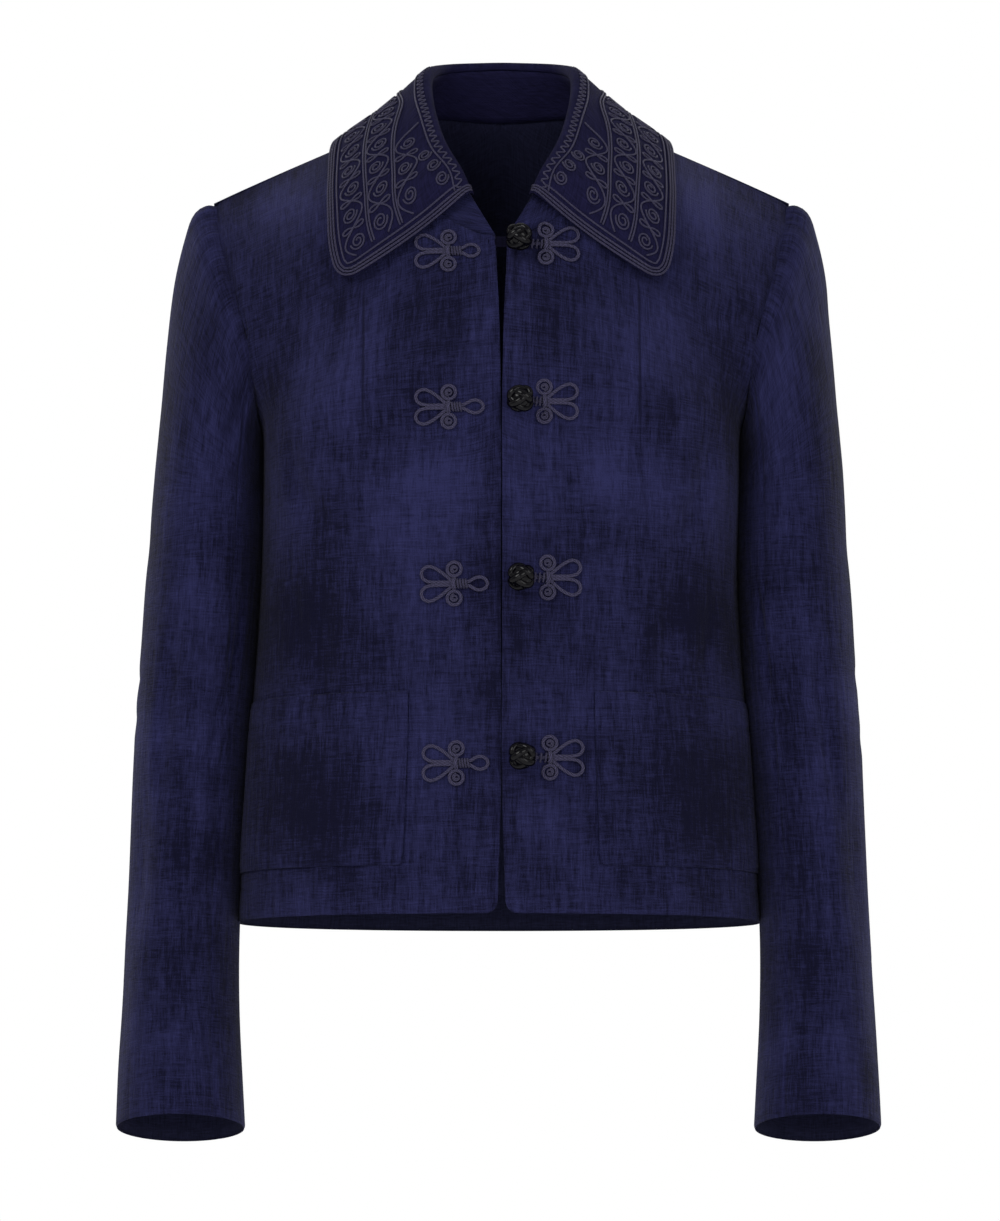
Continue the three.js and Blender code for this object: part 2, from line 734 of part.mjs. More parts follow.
const upper = part(sleeve, [0, sleeve.length - 1], [frontSleeveSeam, backSleeveSeam]);
const under = [
  part(sleeve, [0, sleeve.length - 1], [0, frontSleeveSeam]),
  part(sleeve, [0, sleeve.length - 1], [backSleeveSeam, 2 * armholeSteps]),
];
const left = (grid, turned = false) => ({ grid, turned });
const right = (grid, turned = false) => ({ grid: mirrored(grid), turned: !turned });

const surfaces = {
  upper_sleeve_left: surfaceOf([left(upper, true)]),
  upper_sleeve_right: surfaceOf([right(upper, true)]),
  under_sleeve_left: surfaceOf(under.map((grid) => left(grid, true))),
  under_sleeve_right: surfaceOf(under.map((grid) => right(grid, true))),
  front_left: surfaceOf([left(front)]),
  front_right: surfaceOf([right(front)]),
  back: surfaceOf([left(back, true), right(back, true)]),
  collar_stand: surfaceOf([left(stand), right(stand)]),
  collar_fall: surfaceOf([left(fall, true), right(fall, true)]),
};
weldSeams(Object.values(surfaces));
Object.entries(surfaces).forEach(([name, surface]) => {
  const collar = name.startsWith("collar");
  const wall = clothWallOf(surface, collar ? collarWall : clothWall);
  add(name, wall, collar ? collarCloth : jacketCloth);
});

const pocket = part(front, pocketRows, [pocketColumn, panelColumns]);
Object.entries({ left: left(pocket), right: right(pocket) }).forEach(([side, patch]) => {
  const layer = layerOn(surfaces[`front_${side}`], [patch], pocketWall, pocketInset);
  add(`pocket_${side}`, layer, jacketCloth);
});

const lastRow = fall.length - 1;
const bands = [
  part(fall, [rollArc.length, lastRow], [0, 1]),
  part(fall, [lastRow - 1, lastRow], [1, fall[0].length - 1]),
];
const bothSides = bands.flatMap((grid) => [left(grid, true), right(grid, true)]);
add("collar_edge_braid", layerOn(surfaces.collar_fall, bothSides, bandWall, bandInset), mattBraid);

const leftFront = surfaces.front_left;
frogs.forEach((frog, i) => {
  const number = i + 1;
  const loop = teardrop(-frog.inward, loopHalfWide, 0, loopSteps);
  const stemEnd = stemShort - frog.stem;
  const stem = [[0, 0], [stemEnd / 2, 0], [stemEnd, 0]];
  add(`frog_loop_${number}`, frogHalf(leftFront, frog.loopX, frog.loopZ, loop), mattBraid);
  add(`frog_knot_half_${number}`, frogHalf(leftFront, frog.ballX, frog.ballZ, stem), mattBraid);
  const seat = onFront(leftFront, frog.ballX - frog.stem, frog.ballZ);
  const centre = seat.point.addScaledVector(seat.normal, ballRadius + seamGap);
  const ball = new THREE.SphereGeometry(ballRadius, ballSides, ballRings);
  add(`knot_button_${number}`, ball.translate(centre.x, centre.y, centre.z), knotSatin);
});

export default jacket;
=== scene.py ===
"""Frog-closure jacket in its worn form, dressed around its fixed frame.

Tables are in millimetres: x to the wearer's left, y backwards, z up, from the point midway between
the side neck points. Meshes are in metres.
"""

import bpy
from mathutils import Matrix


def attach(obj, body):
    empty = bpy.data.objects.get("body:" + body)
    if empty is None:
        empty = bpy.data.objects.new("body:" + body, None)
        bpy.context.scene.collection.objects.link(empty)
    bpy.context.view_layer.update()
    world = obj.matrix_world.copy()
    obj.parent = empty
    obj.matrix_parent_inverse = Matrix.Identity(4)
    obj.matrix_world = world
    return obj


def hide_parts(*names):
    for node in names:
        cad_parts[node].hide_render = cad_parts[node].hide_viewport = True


bl_info = {
    "name": "Frog-closure jacket",
    "version": (1, 0, 0),
    "blender": (4, 5, 0),
    "location": "View3D > Sidebar > Jacket",
    "description": "Makes a slubbed indigo jacket with a braided collar, patch pockets and frogs",
    "category": "Add Mesh",
}

import bpy
import numpy as np
from bpy.props import FloatProperty, FloatVectorProperty, PointerProperty
from mathutils import Vector

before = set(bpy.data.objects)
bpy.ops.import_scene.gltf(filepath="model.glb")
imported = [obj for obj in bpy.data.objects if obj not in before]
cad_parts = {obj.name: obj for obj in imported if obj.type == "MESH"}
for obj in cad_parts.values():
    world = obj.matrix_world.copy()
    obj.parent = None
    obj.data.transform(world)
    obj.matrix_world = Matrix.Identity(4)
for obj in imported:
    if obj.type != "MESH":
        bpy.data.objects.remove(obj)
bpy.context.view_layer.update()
BODY = "root"
MM = 0.001
LEFT, RIGHT = 1, -1
SIDES = {"left": LEFT, "right": RIGHT}


def columns(names, *rows):
    """A table whose columns are read by name."""
    return dict(zip(names.split(), np.array(rows, float).T))


# Sizes shared with the frame

HEM_Z, UNDERARM_Z, NECK_FRONT_Z, NECK_BACK_Z = -537, -212, -93, 10
POCKET_BOTTOM_Z, POCKET_TOP_Z = -506, -395
BODY_HEIGHTS = np.array([HEM_Z, POCKET_BOTTOM_Z, -450, POCKET_TOP_Z, -345, -298, -254, UNDERARM_Z])
PANEL_COLUMNS = 12
CENTRE_CROWDING = 1.12
ARMHOLE_STEPS = 13
FRONT_NECK_STEPS, BACK_NECK_STEPS = 7, 5
POCKET_COLUMN = 3
POCKET_ROWS = (1, 3)
WAIST_ROW = 4
EVENING_ROUNDS, EVENING_SHARE = 4, 0.6
CHEST_SWELL_Z = -330

BODY_LEVELS = columns(
    "z side front_square back_square",
    (HEM_Z, 176, 0.62, 0.6),
    (-450, 170, 0.62, 0.6),
    (-350, 163.5, 0.64, 0.62),
    (-280, 160, 0.72, 0.7),
    (UNDERARM_Z, 160, 0.83, 0.82),
)
CENTRE_LINES = columns(
    "z gap front back",
    (HEM_Z, 2.7, -125, 105),
    (-458, 0.35, -121, 98),
    (-350, 0.35, -118, 90),
    (-270, 0.35, -124, 92),
    (UNDERARM_Z, 0.35, -127, 98),
    (-150, 1.5, -116, 100),
    (NECK_FRONT_Z, 3.8, -96, 95),
    (-40, 3.8, -90, 84),
    (NECK_BACK_Z, 3.8, -80, 62),
)

# Seam lines on the wearer's left: armholes from underarm to shoulder tip, necklines from the centre to
# the side neck point, each as x, y, z.
ARMHOLE_FRONT = np.array([
    (160, 0, UNDERARM_Z), (161.5, -30, -208), (164, -51, -190), (167, -59, -168), (171, -56, -147),
    (177, -48, -126), (184, -34, -101), (190, -16, -74), (193, 3, -55),
], float)
ARMHOLE_BACK = np.array([
    (160, 0, UNDERARM_Z), (161.5, 28, -209), (165, 48, -194), (170, 62, -172), (175, 66, -148),
    (181, 58, -118), (188, 36, -86), (192, 18, -66), (193, 3, -55),
], float)
NECKLINE_FRONT = np.array([
    (3.8, -96, NECK_FRONT_Z), (28, -93, -85), (52, -78, -62), (66, -45, -30), (70, 5, 0),
], float)
NECKLINE_BACK = np.array([
    (0, 62, NECK_BACK_Z), (26, 59, 11), (48, 47, 11), (64, 27, 7), (70, 5, 0),
], float)

# How the rows above the underarm leave the centre (in) and reach the armhole (out)
FRONT_REACH = columns(
    "at in_x in_y in_z out_x out_y out_z",
    (0, 133, -5, 0, 0, -105, 0),
    (0.25, 80, -8, -5, -10, -46, 1),
    (0.5, 52, -6, -10, -34, -24, 8),
    (0.75, 40, -6, -14, -34, -14, 13),
    (1, 40, 1, -16, -40, 0, 19),
)
BACK_REACH = columns(
    "at in_x in_y in_z out_x out_y out_z",
    (0, 131, 2, 0, 0, 80, 0),
    (0.25, 88, 4, -5, -12, 44, 2),
    (0.5, 60, 6, -12, -36, 24, 12),
    (0.75, 42, 10, -16, -36, 16, 16),
    (1, 40, 1, -16, -40, 0, 19),
)

# Sleeve, by the turn round it: 0 at the underarm, 0.25 in front, 0.5 at the shoulder tip, 0.75 behind
SLEEVE_TOP_Z, CUFF_Z = -260, -676
CUFF_SLANT, CUFF_MIDDLE_Y, SLANT_TOP_Z = -0.17, -18, -520
SLEEVE_HEIGHTS = np.array([-305, -350, -395, -440, -480, -520, -560, -600, -640, CUFF_Z])
HEAD_ROWS = 6
FRONT_SLEEVE_SEAM, BACK_SLEEVE_SEAM = 4, 22
SLEEVE_RINGS = columns(
    "z x y wide deep",
    (CUFF_Z, 216, -18, 41, 48),
    (-590, 217.5, -13, 36.5, 49),
    (-523, 215, -9, 35, 50),
    (-430, 210, -4, 37, 52),
    (-348, 204, 0, 38, 55),
    (SLEEVE_TOP_Z, 198, 2, 36.3, 59),
)
HEAD_REACH = columns(
    "at out_x out_y out_z drop",
    (0, 1, 0, -12, 14),
    (0.125, 5, -4, -8, 24),
    (0.25, 12, -8, -4, 50),
    (0.375, 18, -5, 2, 90),
    (0.5, 24, 0, 5, 128),
    (0.625, 18, 5, 2, 90),
    (0.75, 12, 7, -4, 50),
    (0.875, 5, 4, -8, 24),
    (1, 1, 0, -12, 14),
)
SLEEVE_FOLDS = columns(
    "turn z across along depth",
    (0.3, -405, 0.05, 40, -2.2),
    (0.38, -505, 0.045, 45, -2.4),
    (0.45, -590, 0.05, 40, -2),
    (0.72, -440, 0.06, 50, -2.4),
)

# Collar: the roll line is the stand's top edge, and the fall's free edge is given by its share of it
ROLL_LINE = np.array([
    (23, -89, -61), (37, -73, -37), (45, -51, -16), (50, -22, 10), (49, 8, 31), (36, 40, 41), (0, 54, 45),
], float)
ROLL_RADIUS, ROLL_GAP, ROLL_FOOT, ROLL_SLOPE_STEP = 1, 0.4, 1, 0.01
FALL_EDGE = columns(
    "at x y z turn reach end_x end_y end_z",
    (0, 106.5, -93, -120.5, 108, 38, -28, -16, 14),
    (0.07, 112, -87, -104, 124, 32, -28, -13, 15),
    (0.2, 115, -69.5, -74, 150, 22, -24, -12, 18),
    (0.35, 116, -39.5, -43, 155, 20, -22, -8, 20),
    (0.5, 113, -1, -15, 158, 18, -22, -1, 18),
    (0.65, 98, 46, -10, 156, 20, -17, -9, 18),
    (0.82, 60, 78, -19, 158, 22, -6, -6, 24),
    (1, 0, 83, -24, 160, 24, 0, -3, 26),
)

# How much nearer the body each sleeve's outer and inner side lie than the even sleeve's
SLEEVE_DRAW = {
    LEFT: columns(
        "z outer inner",
        (-700, 6.2, 8), (-600, 6.6, 9.9), (-540, 6.6, 9.7), (-500, 6.7, 9.4), (-460, 7, 9.2),
        (-420, 7, 9), (-380, 7.4, 8.6), (-340, 6.6, 8), (-300, 5.8, 6.8), (-270, 4.4, 5),
        (-240, 5, 3.8), (-215, 6.6, 2.8), (-190, 8, 1.8), (-150, 8.2, 0), (-130, 7.6, 0),
        (-110, 5.6, 0), (-90, 4.2, 0), (-60, 2.5, 0), (-20, 0, 0),
    ),
    RIGHT: columns(
        "z outer inner",
        (-700, 2.6, 5.4), (-600, 2, 7.3), (-540, 2, 7.3), (-500, 2.1, 6.5), (-460, 2.1, 5.8),
        (-420, 2.1, 5.1), (-380, 2.1, 4.3), (-340, 1.8, 3.8), (-300, 1.1, 4), (-270, 0.2, 3.4),
        (-240, 1.6, 3.2), (-215, 3.4, 2.6), (-190, 4.8, 1.6), (-150, 5, 0), (-130, 4.6, 0),
        (-110, 3.9, 0), (-90, 3.2, 0), (-60, 1.8, 0), (-20, 0, 0),
    ),
}
SIDE_PRESS = {LEFT: 3.4, RIGHT: 0}
SLEEVE_DRAW_ENDS = (-700, -20)
OUTER_DRAW_RUN, INNER_DRAW_RUN = 34, 5
PRESS_HEIGHTS, PRESS_ACROSS = (-330, -235), (96, 166)
HEM_DROP, HEM_DROP_HEIGHTS = 3, (-545, -400)

# Frogs: where the bound middle of each half lies, and how far its loop reaches inwards
FROGS = columns(
    "loop_x loop_z ball_x ball_z inward",
    (-34.5, -104, 28.8, -99.2, 21),
    (-34.1, -210.5, 27.6, -207, 23.5),
    (-30.4, -325.5, 29.6, -321.5, 22.5),
    (-29, -442.5, 31, -439, 21.5),
)
EDGE_KEEP = 4.4
PETAL = np.array([
    (0.3, 0.9), (5, 0.95), (10.5, 0.95), (15.8, 1.2), (19.6, 2.6), (21.6, 5.8), (20.6, 9.4), (17, 11.3),
    (12.6, 10.1), (7.6, 6.8), (3.6, 3.4), (1, 1.1),
])
RING_RISE, RING_RADIUS = 9.4, 4.5
COIL_FIRST, COIL_LAST, COIL_TURNS = 2.6, 0.75, 1.7
LOOP_HALF = ((0, 0.95), (-4, 0.95), (-8.6, 1.1), (-11.6, 2.4), (-14.6, 3.9), (-17.8, 4.1))
LOOP_EYE, LOOP_MARGIN = 4.2, 1.2
FROG_BRAID, FROG_FINE, FROG_THREAD, FROG_KNOB = (2.1, 1.8), (1.25, 1.2), (1.25, 1.0), (2.6, 1.4)
LOOP_BINDING = (-2.2, -7.4, 4)

# Ball knots: each one's place across and its turn in radians, and the band under the uppermost
KNOT_X = (11.3, 11.3, 12.7, 13.1)
KNOT_TURNED = (0.2, 1.1, 2.3, 3.6)
BALL_RADIUS, BALL_GAP = 9.8, 0.3
KNOT_CORD, KNOT_WEAVE, KNOT_LATITUDE = 2.4, 0.9, 64
KNOT_LOBES, KNOT_TURNS = 4, 3
BAND_X, BAND_Z, BAND_HIGH, BAND_RISE = (-8.5, 6), -97, 8, -1.7
BAND_THICK, BAND_STEPS = 1.5, 15

# Soft troughs (depth under 0) and ridges in the cloth. On the fronts and the back, across is the
# distance from the centre line; on a sleeve it is the distance round from its front line, outwards.
FRONT_FOLDS = {
    LEFT: columns(
        "across z to_across to_z bow width depth",
        (150, -222, 112, -300, 8, 13, -2.4),
        (124, -300, 116, -420, -6, 15, -2.2),
        (84, -330, 78, -500, 4, 17, -1.3),
        (152, -330, 140, -392, 4, 11, -1.4),
        (168, -128, 128, -158, 5, 12, -1.4),
        (42, -300, 36, -392, -4, 14, -0.9),
        (58, -478, 64, -545, 3, 15, -1.3),
        (118, -500, 124, -548, 2, 14, 1.1),
        (9, -98, 34, -78, 2, 4, -1.6),
    ),
    RIGHT: columns(
        "across z to_across to_z bow width depth",
        (152, -226, 108, -292, 10, 12, -2.2),
        (118, -308, 122, -436, 5, 15, -2.4),
        (78, -345, 84, -490, -5, 16, -1.2),
        (154, -318, 138, -386, -4, 12, -1.5),
        (170, -122, 132, -152, 4, 12, -1.2),
        (40, -262, 44, -372, 4, 15, -0.9),
        (66, -482, 60, -545, -3, 15, -1.2),
        (122, -498, 116, -548, 2, 14, 1.2),
        (8, -99, 36, -76, 3, 4, -1.8),
        (14, -104, 30, -97, 2, 3.5, -1),
    ),
}
BACK_FOLDS = {
    LEFT: columns(
        "across z to_across to_z bow width depth",
        (150, -215, 92, -262, 8, 14, -2.4),
        (10, -318, 96, -336, -6, 13, -2),
        (24, -362, 118, -350, 5, 12, -1.6),
        (120, -280, 128, -420, 6, 16, -2.2),
        (62, -400, 56, -530, -4, 18, -1.6),
        (166, -96, 112, -112, 5, 13, -1.5),
        (104, -470, 112, -545, 3, 15, 1.2),
    ),
    RIGHT: columns(
        "across z to_across to_z bow width depth",
        (152, -220, 88, -254, 7, 13, -2.2),
        (6, -330, 104, -322, 6, 13, -2.2),
        (30, -372, 110, -380, -5, 12, -1.5),
        (126, -286, 118, -430, -5, 16, -2),
        (54, -392, 66, -530, 4, 18, -1.7),
        (164, -90, 116, -118, -4, 13, -1.4),
        (98, -466, 106, -545, -3, 15, 1.3),
    ),
}
SLEEVE_CREASES = {
    LEFT: columns(
        "across z to_across to_z bow width depth",
        (-36, -318, -30, -388, 2, 5, -1.8),
        (-25, -322, -22, -380, -2, 6, 0.9),
        (-24, -392, -14, -448, 3, 6, -1.4),
        (-6, -436, 6, -524, 4, 9, -1.6),
        (14, -352, 24, -470, -4, 9, -1.3),
        (-34, -404, 16, -384, -7, 8, -1.6),
        (-30, -432, 20, -420, -5, 7, -1.2),
        (-26, -172, -6, -246, 5, 8, -1.3),
        (-30, -598, 22, -612, 5, 9, -1.3),
        (-14, -560, 8, -668, 3, 9, -1),
        (62, -372, 120, -404, 6, 9, -1.8),
        (66, -412, 124, -424, -6, 9, -1.7),
        (96, -180, 112, -252, 4, 10, -1.4),
        (82, -560, 96, -640, 4, 10, -1.2),
    ),
    RIGHT: columns(
        "across z to_across to_z bow width depth",
        (-37, -322, -31, -394, -2, 5, -2),
        (-26, -330, -23, -392, 2, 6, 1),
        (-22, -398, -15, -440, -2, 5, -1.5),
        (-4, -446, 4, -532, -4, 9, -1.5),
        (16, -340, 20, -462, 4, 9, -1.4),
        (-32, -412, 14, -396, 6, 8, -1.5),
        (-28, -444, 16, -436, 5, 7, -1.1),
        (-24, -166, -8, -250, -4, 8, -1.4),
        (-28, -606, 24, -600, -5, 9, -1.2),
        (-10, -566, 2, -668, -3, 9, -1.1),
        (60, -366, 122, -392, -6, 9, -1.9),
        (64, -404, 118, -430, 6, 9, -1.6),
        (94, -186, 114, -246, -4, 10, -1.3),
        (86, -552, 92, -646, -4, 10, -1.2),
    ),
}
FOLD_SAMPLES, FOLD_RIDGE, FOLD_SHARE = 17, 1.2, 1.2

# A sleeve's creases are deepened by CREASE_FRONT, and by CREASE_LESS less on its outer side
CREASE_FRONT, CREASE_LESS, CREASE_ACROSS = 1.6, 1.1, (42, 60)

# Fine form
PANEL_STEP, FALL_STEP, BRAID_STEP = 3.2, 2.6, 1.4
EDGE_LINES = (0, 0.5, 1.1, 1.9, 3, 4.6)
SEAM_DIP, SEAM_WIDE, SEAM_TUCK = 0.9, 1.7, 0.9
ARMHOLE_DIP, ARMHOLE_WIDE = 1.6, 3.4
ARMHOLE_FLAT, ARMHOLE_FLAT_HEIGHTS = 40, (-188, -150)
EDGE_DIP, EDGE_WIDE = 0.7, 1.1
HEM_STITCH, HEM_DIP, HEM_WIDE = 21, 0.45, 1.1
STITCH_BESIDE, POCKET_STITCH_BESIDE = 1.6, 1.2
HEM_ROUND, TIP_ROUND, POCKET_ROUND = 8, 14, 4
POCKET_LIFT, POCKET_PUFF, POCKET_PUFF_RUN, POCKET_HEM = 0.4, 0.9, 22, 18
POCKET_WALL, POCKET_FROM_SEAM, POCKET_SHIFT = 1.5, 1.5, 4
POCKET_THIN, POCKET_THIN_RUN = 0.12, (1, 26)
POCKET_STITCH, POCKET_STITCH_DIP, POCKET_STITCH_WIDE = 2.6, 1.6 * 0.3, 1.2
MIRROR_FADE = 12
PATTERN_APART = 730

# The collar's fall hangs a little lower at the front: by these at its tip and at the roll, fading out
# by FALL_DROP_RUN from the leading edge. Its free edge ripples lightly.
FALL_DROP, FALL_DROP_ROLL, FALL_DROP_RUN = 4.5, 7.5, 62
TIP_WAY = np.array([0, -0.36, -1])
RIPPLE, RIPPLE_LONG, RIPPLE_START, RIPPLE_FADE, RIPPLE_RUN = 0.7, 23, 0.6, 26, 40

# The collar's cords, by their distance from its free edge or, beside the roll, from the roll
EDGE_ROWS = (1.0, 3.1, 5.2)
BORDER, BORDER_KEEP = 8.6, 1.9
RULE_ROWS = (30.4, 32.4, 52.2, 54.2)
SCROLL_ROWS = ((19.8, 8.2), (41.6, 8.2), (63.2, 7.8))
SCROLL_LONG = 22
ROLL_KEEP = 11
ROLL_COILS, ROLL_COIL_BELOW = (20, 32, 44), 6.6
ROLL_RULE, ROLL_WAVE, ROLL_WAVE_HIGH, ROLL_WAVE_LONG = 8.6, 4.6, 2.1, 6.4


# Lines and surfaces

def smoothstep(value, low, high):
    """0 below low, 1 above high, and an even S between them."""
    t = np.clip((value - low) / (high - low), 0, 1)
    return t * t * (3 - 2 * t)


def unit(vectors):
    """The vectors, each divided by its length."""
    return vectors / np.maximum(np.linalg.norm(vectors, axis=-1, keepdims=True), 1e-9)


def run_along(points, axis=0):
    """The distance run along a row of points, or along each row or column of a grid."""
    steps = np.linalg.norm(np.diff(points, axis=axis), axis=-1)
    start = np.zeros_like(np.take(steps, [0], axis=axis))
    return np.concatenate([start, np.cumsum(steps, axis=axis)], axis=axis)


def read(table, by, at, *names):
    """Smooth values between a table's rows: on each stretch the cubic that has the rows' values and, at
    each row, the slope from the row before to the row after."""
    key = table[by]
    values = np.stack([table[name] for name in names], axis=-1)
    rows = np.arange(len(key))
    before = np.maximum(rows - 1, 0)
    after = np.minimum(rows + 1, len(key) - 1)
    slope = (values[after] - values[before]) / (key[after] - key[before])[:, None]
    at = np.asarray(at, float)
    row = np.searchsorted(key[1:-1], at, side="left")
    span = (key[row + 1] - key[row])[..., None]
    t = (at - key[row])[..., None] / span
    t2, t3 = t * t, t * t * t
    result = (
        (2 * t3 - 3 * t2 + 1) * values[row]
        + (t3 - 2 * t2 + t) * span * slope[row]
        + (3 * t2 - 2 * t3) * values[row + 1]
        + (t3 - t2) * span * slope[row + 1]
    )
    return result[..., 0] if len(names) == 1 else result


def line_through(points):
    """A smooth line through points, read by the share of its length."""
    table = dict(zip("xyz", points.T), run=run_along(points))
    return lambda share: read(table, "run", np.asarray(share) * table["run"][-1], "x", "y", "z")


def bezier(start, leave, arrive, end, shares):
    """Cubic curves between start and end that set out towards leave and come in from arrive: the four
    points weighted by the terms of (1 - t + t) cubed."""
    t = np.asarray(shares)[:, None]
    start, leave, arrive, end = (p[..., None, :] for p in (start, leave, arrive, end))
    s = 1 - t
    return s**3 * start + 3 * s * s * t * leave + 3 * s * t * t * arrive + t**3 * end


def spline(values, knots, at):
    """The smoothest cubics through rows of values: one linear system gives each row's bend, with none
    at the two ends."""
    count = len(knots)
    flat = values.reshape(count, -1)
    gap = np.diff(knots)
    inner = np.arange(1, count - 1)
    system = np.eye(count)
    system[inner, inner - 1] = gap[:-1]
    system[inner, inner] = 2 * (gap[:-1] + gap[1:])
    system[inner, inner + 1] = gap[1:]
    right = np.zeros_like(flat)
    right[1:-1] = 6 * np.diff(np.diff(flat, axis=0) / gap[:, None], axis=0)
    bend = np.linalg.solve(system, right)
    i = np.clip(np.searchsorted(knots, at, side="right") - 1, 0, count - 2)
    a = ((knots[i + 1] - at) / gap[i])[:, None]
    b = 1 - a
    square = (gap[i] ** 2)[:, None] / 6
    result = a * flat[i] + b * flat[i + 1] + ((a**3 - a) * bend[i] + (b**3 - b) * bend[i + 1]) * square
    return result.reshape(len(at), *values.shape[1:])


def mirrored(points):
    """The points on the other side of the centre plane."""
    return points * np.array([-1, 1, 1])


def normals_of(points):
    """A grid's normals: the cross product of its steps along the rows and up the columns."""
    across = np.gradient(points, axis=1)
    up = np.gradient(points, axis=0)
    return unit(np.cross(across, up))


class Surface:
    """A smooth surface through a coarse grid: splines up its columns, then across its rows.

    It is read by distances up and along, which follow the mean spacing of the grid's points. corners
    are (row, column) places where an outer column turns sharply and is splined in two parts. before
    and after say what carries on past the first and the last column: "mirror", "wrap" or nothing.
    """

    def __init__(self, grid, corners=(), before=None, after=None, mirror_row=None):
        self.grid = grid
        self.corners = corners
        self.before = before
        self.after = after
        self.up_run = np.append(0, np.linalg.norm(np.diff(grid, axis=0), axis=-1).mean(1).cumsum())
        self.along_run = np.append(0, np.linalg.norm(np.diff(grid, axis=1), axis=-1).mean(0).cumsum())
        self.mirror_top = None if mirror_row is None else self.up_run[mirror_row]

    def across(self, tall, along, before):
        """Splines across the rows, with three columns carried on past each end that asks for them."""
        run = self.along_run
        parts, knots = [tall], [run]
        if before == "mirror":
            parts.insert(0, mirrored(tall[:, 3:0:-1]))
            knots.insert(0, -run[3:0:-1])
        if before == "wrap":
            parts.insert(0, tall[:, -4:-1])
            knots.insert(0, run[-4:-1] - run[-1])
        if self.after == "mirror":
            parts.append(mirrored(tall[:, -2:-5:-1]))
            knots.append(2 * run[-1] - run[-2:-5:-1])
        if self.after == "wrap":
            parts.append(tall[:, 1:4])
            knots.append(run[1:4] + run[-1])
        wide = np.concatenate(parts, axis=1).swapaxes(0, 1)
        return spline(wide, np.concatenate(knots), along).swapaxes(0, 1)

    def at(self, up, along):
        """The grid of points at distances up the columns and along the rows."""
        tall = spline(self.grid, self.up_run, up)
        for row, column in self.corners:
            turn = self.up_run[row]
            for part, keep in ((slice(None, row + 1), up <= turn), (slice(row, None), up >= turn)):
                tall[keep, column] = spline(self.grid[part, column], self.up_run[part], up[keep])
        points = self.across(tall, along, self.before)
        if self.mirror_top is not None:
            plain = self.across(tall, along, None)
            share = smoothstep(up, self.mirror_top - MIRROR_FADE, self.mirror_top)[:, None, None]
            points = points + share * (plain - points)
        return points


def lines(start, end, step, also=(), near=(True, True)):
    """Distances from start to end: even steps, closer lines beside the ends, and those in also."""
    edge = np.array(EDGE_LINES, float)
    first = start + edge if near[0] else np.array([start], float)
    last = end - edge[::-1] if near[1] else np.array([end], float)
    count = max(2, round((last[0] - first[-1]) / step) + 1)
    inner = np.linspace(first[-1], last[0], count)[1:-1]
    also = np.array(also, float)
    if len(also):
        inner = inner[np.abs(inner[:, None] - also).min(1) > step / 3]
    return np.sort(np.concatenate([first, inner, last, also]))


# The pieces' coarse grids

def evened(grid):
    """The inner points of the rows from the waist up, each drawn towards the mean of its neighbours."""
    for _ in range(EVENING_ROUNDS):
        mean = (grid[:-2, 1:-1] + grid[2:, 1:-1] + grid[1:-1, :-2] + grid[1:-1, 2:]) / 4
        inner = grid[1:-1, 1:-1]
        inner[WAIST_ROW - 1:] += EVENING_SHARE * (mean - inner)[WAIST_ROW - 1:]
    return grid


def half_panel(depth, square, gap, neck_z, neck_steps, neckline, armhole, reach):
    """Half a front or half the back on the wearer's left, rows from hem to shoulder seam: each row is a
    cubic curve from the centre line or the neckline to the side seam or the armhole."""
    shares = np.linspace(0, 1, PANEL_COLUMNS + 1) ** CENTRE_CROWDING

    def centre(z):
        wide = read(CENTRE_LINES, "z", z, "gap") if gap else np.zeros_like(z)
        return np.stack([wide, read(CENTRE_LINES, "z", z, depth), z], axis=-1)

    z = BODY_HEIGHTS.astype(float)
    zero = np.zeros_like(z)
    side = read(BODY_LEVELS, "z", z, "side")
    full = read(BODY_LEVELS, "z", z, square)
    start = centre(z)
    swell = reach["in_y"][0] * smoothstep(z, CHEST_SWELL_Z, UNDERARM_Z)
    below = bezier(
        start,
        start + np.stack([full * side, swell, zero], axis=-1),
        np.stack([side, full * start[:, 1], z], axis=-1),
        np.stack([side, zero, z], axis=-1),
        shares,
    )
    steps = np.arange(1, ARMHOLE_STEPS + 1)
    low_steps = ARMHOLE_STEPS - neck_steps
    up = UNDERARM_Z + (neck_z - UNDERARM_Z) * np.minimum(steps / low_steps, 1)
    on_neck = line_through(neckline)(np.clip((steps - low_steps) / neck_steps, 0, 1))
    start = np.where((steps <= low_steps)[:, None], centre(up), on_neck)
    at = steps / ARMHOLE_STEPS
    end = line_through(armhole)(at)
    leave = read(reach, "at", at, "in_x", "in_y", "in_z")
    arrive = read(reach, "at", at, "out_x", "out_y", "out_z")
    above = bezier(start, start + leave, end + arrive, end, shares)
    return evened(np.concatenate([below, above]))


